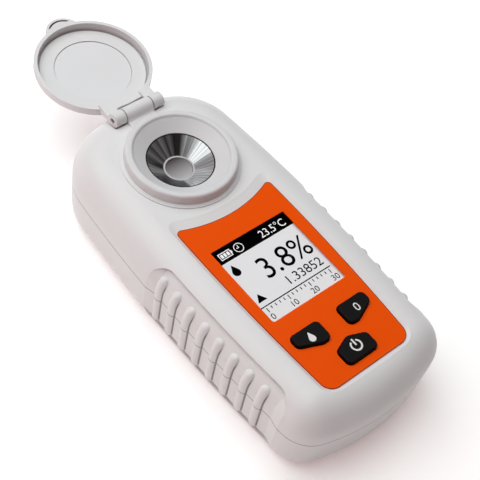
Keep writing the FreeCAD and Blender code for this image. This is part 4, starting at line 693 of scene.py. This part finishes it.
class REFRACTOMETER_OT_display(PieceOperator):
    """Finish the display and its window, and print what the display shows"""
    bl_idname = "refractometer.display"
    bl_label = "Display"

    def make(self, colours, sizes):
        self.sizes = sizes
        self.unit = sizes.screen / SCREEN_UNITS
        wear("display_window", clear_layer("window_sheet", 0.02))
        ground = self.ground(colours.ground)
        wear("display_glass", ground)
        wear("display_frame", plain_finish("display_frame_plastic", (0.02, 0.02, 0.02), 0.5))
        ink = plain_finish("display_ink", colours.segment, 0.5, gloss=0.0)
        light = plain_finish("display_light", (0.98, 0.98, 0.98), 0.4, gloss=0.1)
        reach = sizes.screen / 2 + sizes.screen_reach
        self.sign("screen_ground", [bar(-reach, reach, -reach, reach)], (0.5, 0.5), ground, 0)
        self.header(ink, light)
        self.readings(ink)
        self.scale(ink)

    def ground(self, shade):
        """Pale ground of the display, with an even painted glow that brightens it."""
        glow = (0.96, 0.97, 1.0)
        # Painted glow: the emission brightens the display ground
        ground = Finish("display_ground", IOR=1.5, Specular_IOR_Level=0.1, Emission_Strength=0.08)
        cloud = ground.noise(16 * MM, detail=1)
        ground.set("Base Color", ground.mix(cloud * 0.5, shade, shaded(shade, 0.95)))
        ground.set("Emission Color", glow)
        ground.set("Roughness", cloud * 0.1 + 0.35)
        return ground.material

    def spot(self, share, lift):
        """A place on the screen from its shares across and down, lifted off the window."""
        across, down = share
        sizes = self.sizes
        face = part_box("display_window")[0].z
        return ((across - 0.5) * sizes.screen, sizes.screen_middle + (0.5 - down) * sizes.screen,
                face + lift)

    def sign(self, name, outlines, share, material, layer=1):
        """A sign of outlines on the screen, so many prints above the window's lower face."""
        depth = self.sizes.print_depth
        spot = self.spot(share, layer * depth)
        flat_print(name, outlines, spot, "case", material, depth)

    def digits(self, name, text, height, share, material, layer=1, align="CENTER", stretch=1.0):
        """A row of digits on the screen."""
        depth = self.sizes.print_depth
        spot = self.spot(share, layer * depth)
        lettering(name, text, height, spot, "case", material, depth, align, stretch)

    def header(self, ink, light):
        """Dark strip with a battery sign, a clock sign and the temperature."""
        sizes = self.sizes
        half = sizes.screen / 2 + sizes.screen_reach
        strip = bar(-half, half, -sizes.header * sizes.screen, sizes.screen_reach)
        self.sign("screen_strip", [strip], (0.5, 0.0), ink)
        self.sign("screen_battery", self.battery(), SCREEN_SPOTS["battery"], light, 2)
        self.sign("screen_clock", self.clock(), SCREEN_SPOTS["clock"], light, 2)
        self.digits("screen_temperature", "23.5°C", sizes.header_digit_height,
                    SCREEN_SPOTS["temperature"], light, 2, "RIGHT", 0.92)

    def battery(self):
        """Outlines of a battery: its case of four lines, its cap and three full cells."""
        unit = self.unit
        wide = 4.6 * unit
        tall = 2.6 * unit
        line = 0.3 * unit
        cell = 0.9 * unit
        outlines = [
            bar(0, wide, 0, line),
            bar(0, wide, tall - line, tall),
            bar(0, line, line, tall - line),
            bar(wide - line, wide, line, tall - line),
            bar(wide, wide + 0.4 * unit, 0.8 * unit, 1.8 * unit),
        ]
        for step in range(3):
            left = 2 * line + step * (cell + line)
            outlines.append(bar(left, left + cell, 2 * line, tall - 2 * line))
        return outlines

    def clock(self):
        """Outlines of a clock: its ring and two hands."""
        unit = self.unit
        thin = 0.13 * unit
        hands = [bar(-thin, thin, -thin, 1.0 * unit), bar(-0.8 * unit, -thin, -thin, thin)]
        return ring((0, 0), 1.6 * unit, 2 * thin) + hands

    def readings(self, ink):
        """Large reading with its sign, and the small reading below it."""
        sizes = self.sizes
        unit = self.unit
        self.digits("screen_reading", "3.8%", sizes.digit_height, SCREEN_SPOTS["reading"], ink,
                    stretch=0.95)
        self.digits("screen_small_reading", "1.33852", sizes.small_digit_height,
                    SCREEN_SPOTS["small reading"], ink, align="RIGHT")
        self.sign("screen_drop", [drop((0, 0), 4.4 * unit)], SCREEN_SPOTS["drop"], ink)
        wedge = [(-1.7 * unit, -1.3 * unit), (1.7 * unit, -1.3 * unit), (0, 1.6 * unit)]
        self.sign("screen_wedge", [wedge], SCREEN_SPOTS["wedge"], ink)

    def scale(self, ink):
        """Thin line and a short tick scale at the foot of the screen."""
        marks = 4
        steps = 5
        pitch = 1.72 * self.unit
        thick = 0.15 * self.unit
        sizes = self.sizes
        side = sizes.screen
        rule = bar(-0.52 * side, 0.475 * side, -0.19 * self.unit, 0.19 * self.unit)
        self.sign("screen_rule", [rule], (0.5, sizes.footer), ink)
        last = (marks - 1) * steps
        ticks = []
        for step in range(last + 1):
            tall = (1.7 if step % steps == 0 else 1.0) * self.unit
            line = (step - last / 2) * pitch
            ticks.append(bar(line - thick, line + thick, -tall, 0))
        self.sign("screen_ticks", ticks, (0.5, sizes.footer + 0.022), ink)
        for mark in range(marks):
            across = 0.5 + (mark * steps - last / 2) * pitch / side
            self.digits(f"screen_mark_{mark}", str(mark * 10), 2.1 * self.unit,
                        (across, sizes.footer + 0.135), ink)


class REFRACTOMETER_OT_keys(PieceOperator):
    """Finish the silicone keys and print their signs"""
    bl_idname = "refractometer.keys"
    bl_label = "Keys"

    def make(self, colours, sizes):
        rubber = Finish("key_silicone", IOR=1.42, Specular_IOR_Level=0.14)
        worn = rubber.noise(2 * MM) * 0.5
        rubber.set("Base Color", rubber.mix(worn, colours.key, shaded(colours.key, 1.6)))
        rubber.set("Roughness", rubbed(rubber, 1.2 * MM, 0.51, 0.1))
        rubber.bump(rubber.noise(0.2 * MM), 0.003 * MM, 0.4)
        for name in ("meas_key", "zero_key", "power_key", "key_mat"):
            wear(name, rubber.material)
        sign = plain_finish("key_print", colours.key_print, 0.45)
        depth = sizes.print_depth
        self.print_on("meas_key", [drop((0, 0), sizes.key_drop)], sign, depth)
        lettering("zero_key_print", "0", sizes.key_digit, self.face("zero_key"), "zero_key",
                  sign, depth)
        self.print_on("power_key", self.power_sign(sizes), sign, depth)

    def power_sign(self, sizes):
        """Outlines of a ring that is open at its top, with an upright bar."""
        open_half = math.degrees(sizes.power_gap) / 2
        half = sizes.power_line / 2
        outlines = ring((0, 0), sizes.power_radius, sizes.power_line, 90 + open_half,
                        450 - open_half)
        outlines.append(bar(-half, half, 0, sizes.power_bar))
        return outlines

    def face(self, name):
        """Middle of the top of a key."""
        spot = middle(name)
        return (spot.x, spot.y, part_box(name)[1].z)

    def print_on(self, name, outlines, material, depth):
        """Print a sign on the top of a key."""
        flat_print(f"{name}_print", outlines, self.face(name), name, material, depth)


class REFRACTOMETER_OT_inside(PieceOperator):
    """Finish the pieces inside the casing"""
    bl_idname = "refractometer.inside"
    bl_label = "Inside"

    def make(self, colours, sizes):
        black = plain_finish("component_plastic", (0.012, 0.012, 0.014), 0.5)
        metal = plain_finish("contact_metal", colours.metal, 0.32, metallic=1.0)
        board = plain_finish("board_lacquer", colours.board, 0.4)
        cell = plain_finish("cell_wrap", colours.cell, 0.3)
        rubber = plain_finish("gasket_rubber", (0.02, 0.02, 0.02), 0.6)
        glass = plain_finish("lens_glass", (0.8, 0.85, 0.9), 0.05)
        lamp = plain_finish("lamp_resin", (0.9, 0.8, 0.5), 0.1)
        ribbon = plain_finish("ribbon_film", (0.5, 0.22, 0.03), 0.35)
        finishes = {
            "processor": black, "buzzer": black, "ribbon_socket": black, "key_switches": black,
            "image_sensor": black, "temperature_sensor": black, "optics_block": black,
            "board_screws": metal, "optics_screws": metal, "bridge_contact": metal,
            "positive_contact": metal, "negative_contact": metal, "contact_springs": metal,
            "main_board": board, "sensor_board": board, "lamp_board": board,
            "battery_cell_left": cell, "battery_cell_right": cell, "shell_gasket": rubber,
            "condenser_lens": glass, "light_source": lamp, "sensor_ribbon": ribbon,
        }
        for name, material in finishes.items():
            wear(name, material)


# Soft lamps: name, place and side in metres, the setting that holds the power, and colour
SOFTBOXES = (
    ("overhead_softbox", (-0.10, 0.30, 0.80), 1.0, "overhead", (0.92, 1.0, 1.0)),
    ("left_softbox", (-0.75, 0.08, 0.30), 0.6, "side", (1.0, 0.50, 0.46)),
    ("right_fill", (0.70, 0.10, 0.40), 0.6, "fill", (1.0, 1.0, 1.0)),
)
FLOOR_REACH = 3.0  # metres from the object to each edge of the floor
BACKDROP_RADIUS = 4.0  # metres
SENSOR_WIDTH = 36  # millimetres


class REFRACTOMETER_OT_stage(bpy.types.Operator):
    """Make the floor, the backdrop, the soft lamps, the surroundings and the camera"""
    bl_idname = "refractometer.stage"
    bl_label = "Stage"
    bl_options = {"REGISTER", "UNDO"}

    def execute(self, context):
        studio = settings("studio")
        scene = context.scene
        scene.view_settings.view_transform = "Standard"
        self.floor(settings("colours").floor)
        self.backdrop()
        self.surroundings(scene, studio.world)
        for name, spot, side, power, tint in SOFTBOXES:
            self.softbox(name, spot, side, getattr(studio, power), tint)
        self.camera(scene, studio)
        return {"FINISHED"}

    def floor(self, shade):
        """Plain pale floor, whose glow grows away from the object until it is white."""
        near_glow = (0.20, 0.17, 0.165)
        far_glow = (0.9, 0.9, 0.9)
        change_at = 0.75
        change_over = 0.9
        mesh = bpy.data.meshes.new("studio_floor")
        reach = FLOOR_REACH
        corners = [(x, y, 0) for x, y in bar(-reach, reach, -reach, reach)]
        mesh.from_pydata(corners, [], [(0, 1, 2, 3)])
        made = Finish("studio_paper", Roughness=0.8, Emission_Strength=1.0)
        made.set("Base Color", made.mix(made.noise(0.4) * 0.2, shade, shaded(shade, 0.98)))
        across, along, _ = made.axes()
        away = (across * across + along * along) ** 0.5
        near = away.below(change_at, change_over)
        made.set("Emission Color", made.mix(near, far_glow, near_glow))
        mesh.materials.append(made.material)
        floor = bpy.data.objects.new("studio_floor", mesh)
        bpy.context.scene.collection.objects.link(floor)

    def backdrop(self):
        """Plain white backdrop all round, which only the camera sees."""
        white = (1.0, 1.0, 1.0)
        form = bmesh.new()
        bmesh.ops.create_icosphere(form, subdivisions=4, radius=BACKDROP_RADIUS)
        bmesh.ops.reverse_faces(form, faces=form.faces[:])
        mesh = bpy.data.meshes.new("studio_backdrop")
        form.to_mesh(mesh)
        form.free()
        made = Finish("backdrop_paper", Base_Color=(0, 0, 0), Roughness=1.0,
                      Specular_IOR_Level=0.0, Emission_Strength=1.0)
        made.set("Emission Color", made.mix(made.noise(1.5) * 0.2, white, shaded(white, 0.99)))
        mesh.materials.append(made.material)
        backdrop = bpy.data.objects.new("studio_backdrop", mesh)
        backdrop.visible_diffuse = False
        backdrop.visible_glossy = False
        backdrop.visible_transmission = False
        backdrop.visible_shadow = False
        bpy.context.scene.collection.objects.link(backdrop)

    def surroundings(self, scene, brightness):
        """Even, warm light from all round."""
        world = bpy.data.worlds.new("studio_surroundings")
        world.use_nodes = True
        light = world.node_tree.nodes["Background"]
        light.inputs["Color"].default_value = (1.0, 0.56, 0.52, 1.0)
        light.inputs["Strength"].default_value = brightness
        scene.world = world

    def softbox(self, name, spot, side, power, tint):
        """A square area lamp that looks at the object."""
        lamp = bpy.data.lights.new(name, "AREA")
        lamp.shape = "SQUARE"
        lamp.size = side
        lamp.energy = power
        lamp.color = tint
        box = bpy.data.objects.new(name, lamp)
        box.location = spot
        box.rotation_euler = (-Vector(spot)).to_track_quat("-Z", "Y").to_euler()
        bpy.context.scene.collection.objects.link(box)

    def camera(self, scene, studio):
        """Camera at the photograph's angle, rolled about its view."""
        turn = studio.azimuth
        rise = studio.elevation
        roll = studio.roll
        level = Vector((math.sin(turn), -math.cos(turn), 0))
        back = level * math.cos(rise) + Vector((0, 0, math.sin(rise)))
        right = Vector((math.cos(turn), math.sin(turn), 0))
        up = back.cross(right)
        rolled_right = right * math.cos(roll) + up * math.sin(roll)
        rolled_up = up * math.cos(roll) - right * math.sin(roll)
        data = bpy.data.cameras.new("studio_camera")
        data.lens = studio.lens
        data.sensor_width = SENSOR_WIDTH
        data.clip_start = 0.01
        data.clip_end = 5 * BACKDROP_RADIUS
        camera = bpy.data.objects.new("studio_camera", data)
        basis = Matrix((rolled_right, rolled_up, back)).transposed()
        spot = Vector(studio.target) + back * studio.distance
        camera.matrix_world = Matrix.Translation(spot) @ basis.to_4x4()
        scene.collection.objects.link(camera)
        scene.camera = camera


OPERATORS = (
    REFRACTOMETER_OT_casing,
    REFRACTOMETER_OT_well,
    REFRACTOMETER_OT_lid,
    REFRACTOMETER_OT_label,
    REFRACTOMETER_OT_display,
    REFRACTOMETER_OT_keys,
    REFRACTOMETER_OT_inside,
    REFRACTOMETER_OT_stage,
)


class REFRACTOMETER_PT_looks(bpy.types.Panel):
    """Buttons for each group of pieces, and their sizes and colours"""
    bl_idname = "REFRACTOMETER_PT_looks"
    bl_label = "Refractometer"
    bl_space_type = "VIEW_3D"
    bl_region_type = "UI"
    bl_category = "Refractometer"

    def draw(self, context):
        for operator in OPERATORS:
            self.layout.operator(operator.bl_idname)
        for kind in GROUPS:
            group = settings(kind)
            for label in group.__annotations__:
                self.layout.prop(group, label)


GROUPS = {
    "colours": RefractometerColours,
    "sizes": RefractometerSizes,
    "studio": RefractometerStudio,
}


def register():
    """Register the settings, the operators and the panel."""
    for kind, group in GROUPS.items():
        bpy.utils.register_class(group)
        setattr(bpy.types.Scene, f"refractometer_{kind}", PointerProperty(type=group))
    for operator in (*OPERATORS, REFRACTOMETER_PT_looks):
        bpy.utils.register_class(operator)


def unregister():
    """Take away what register added."""
    for operator in reversed((*OPERATORS, REFRACTOMETER_PT_looks)):
        bpy.utils.unregister_class(operator)
    for kind, group in GROUPS.items():
        delattr(bpy.types.Scene, f"refractometer_{kind}")
        bpy.utils.unregister_class(group)


def main():
    """Make every group of pieces, then the stage."""
    register()
    for operator in OPERATORS:
        group, name = operator.bl_idname.split(".")
        getattr(getattr(bpy.ops, group), name)()


if __name__ == "__main__":
    main()
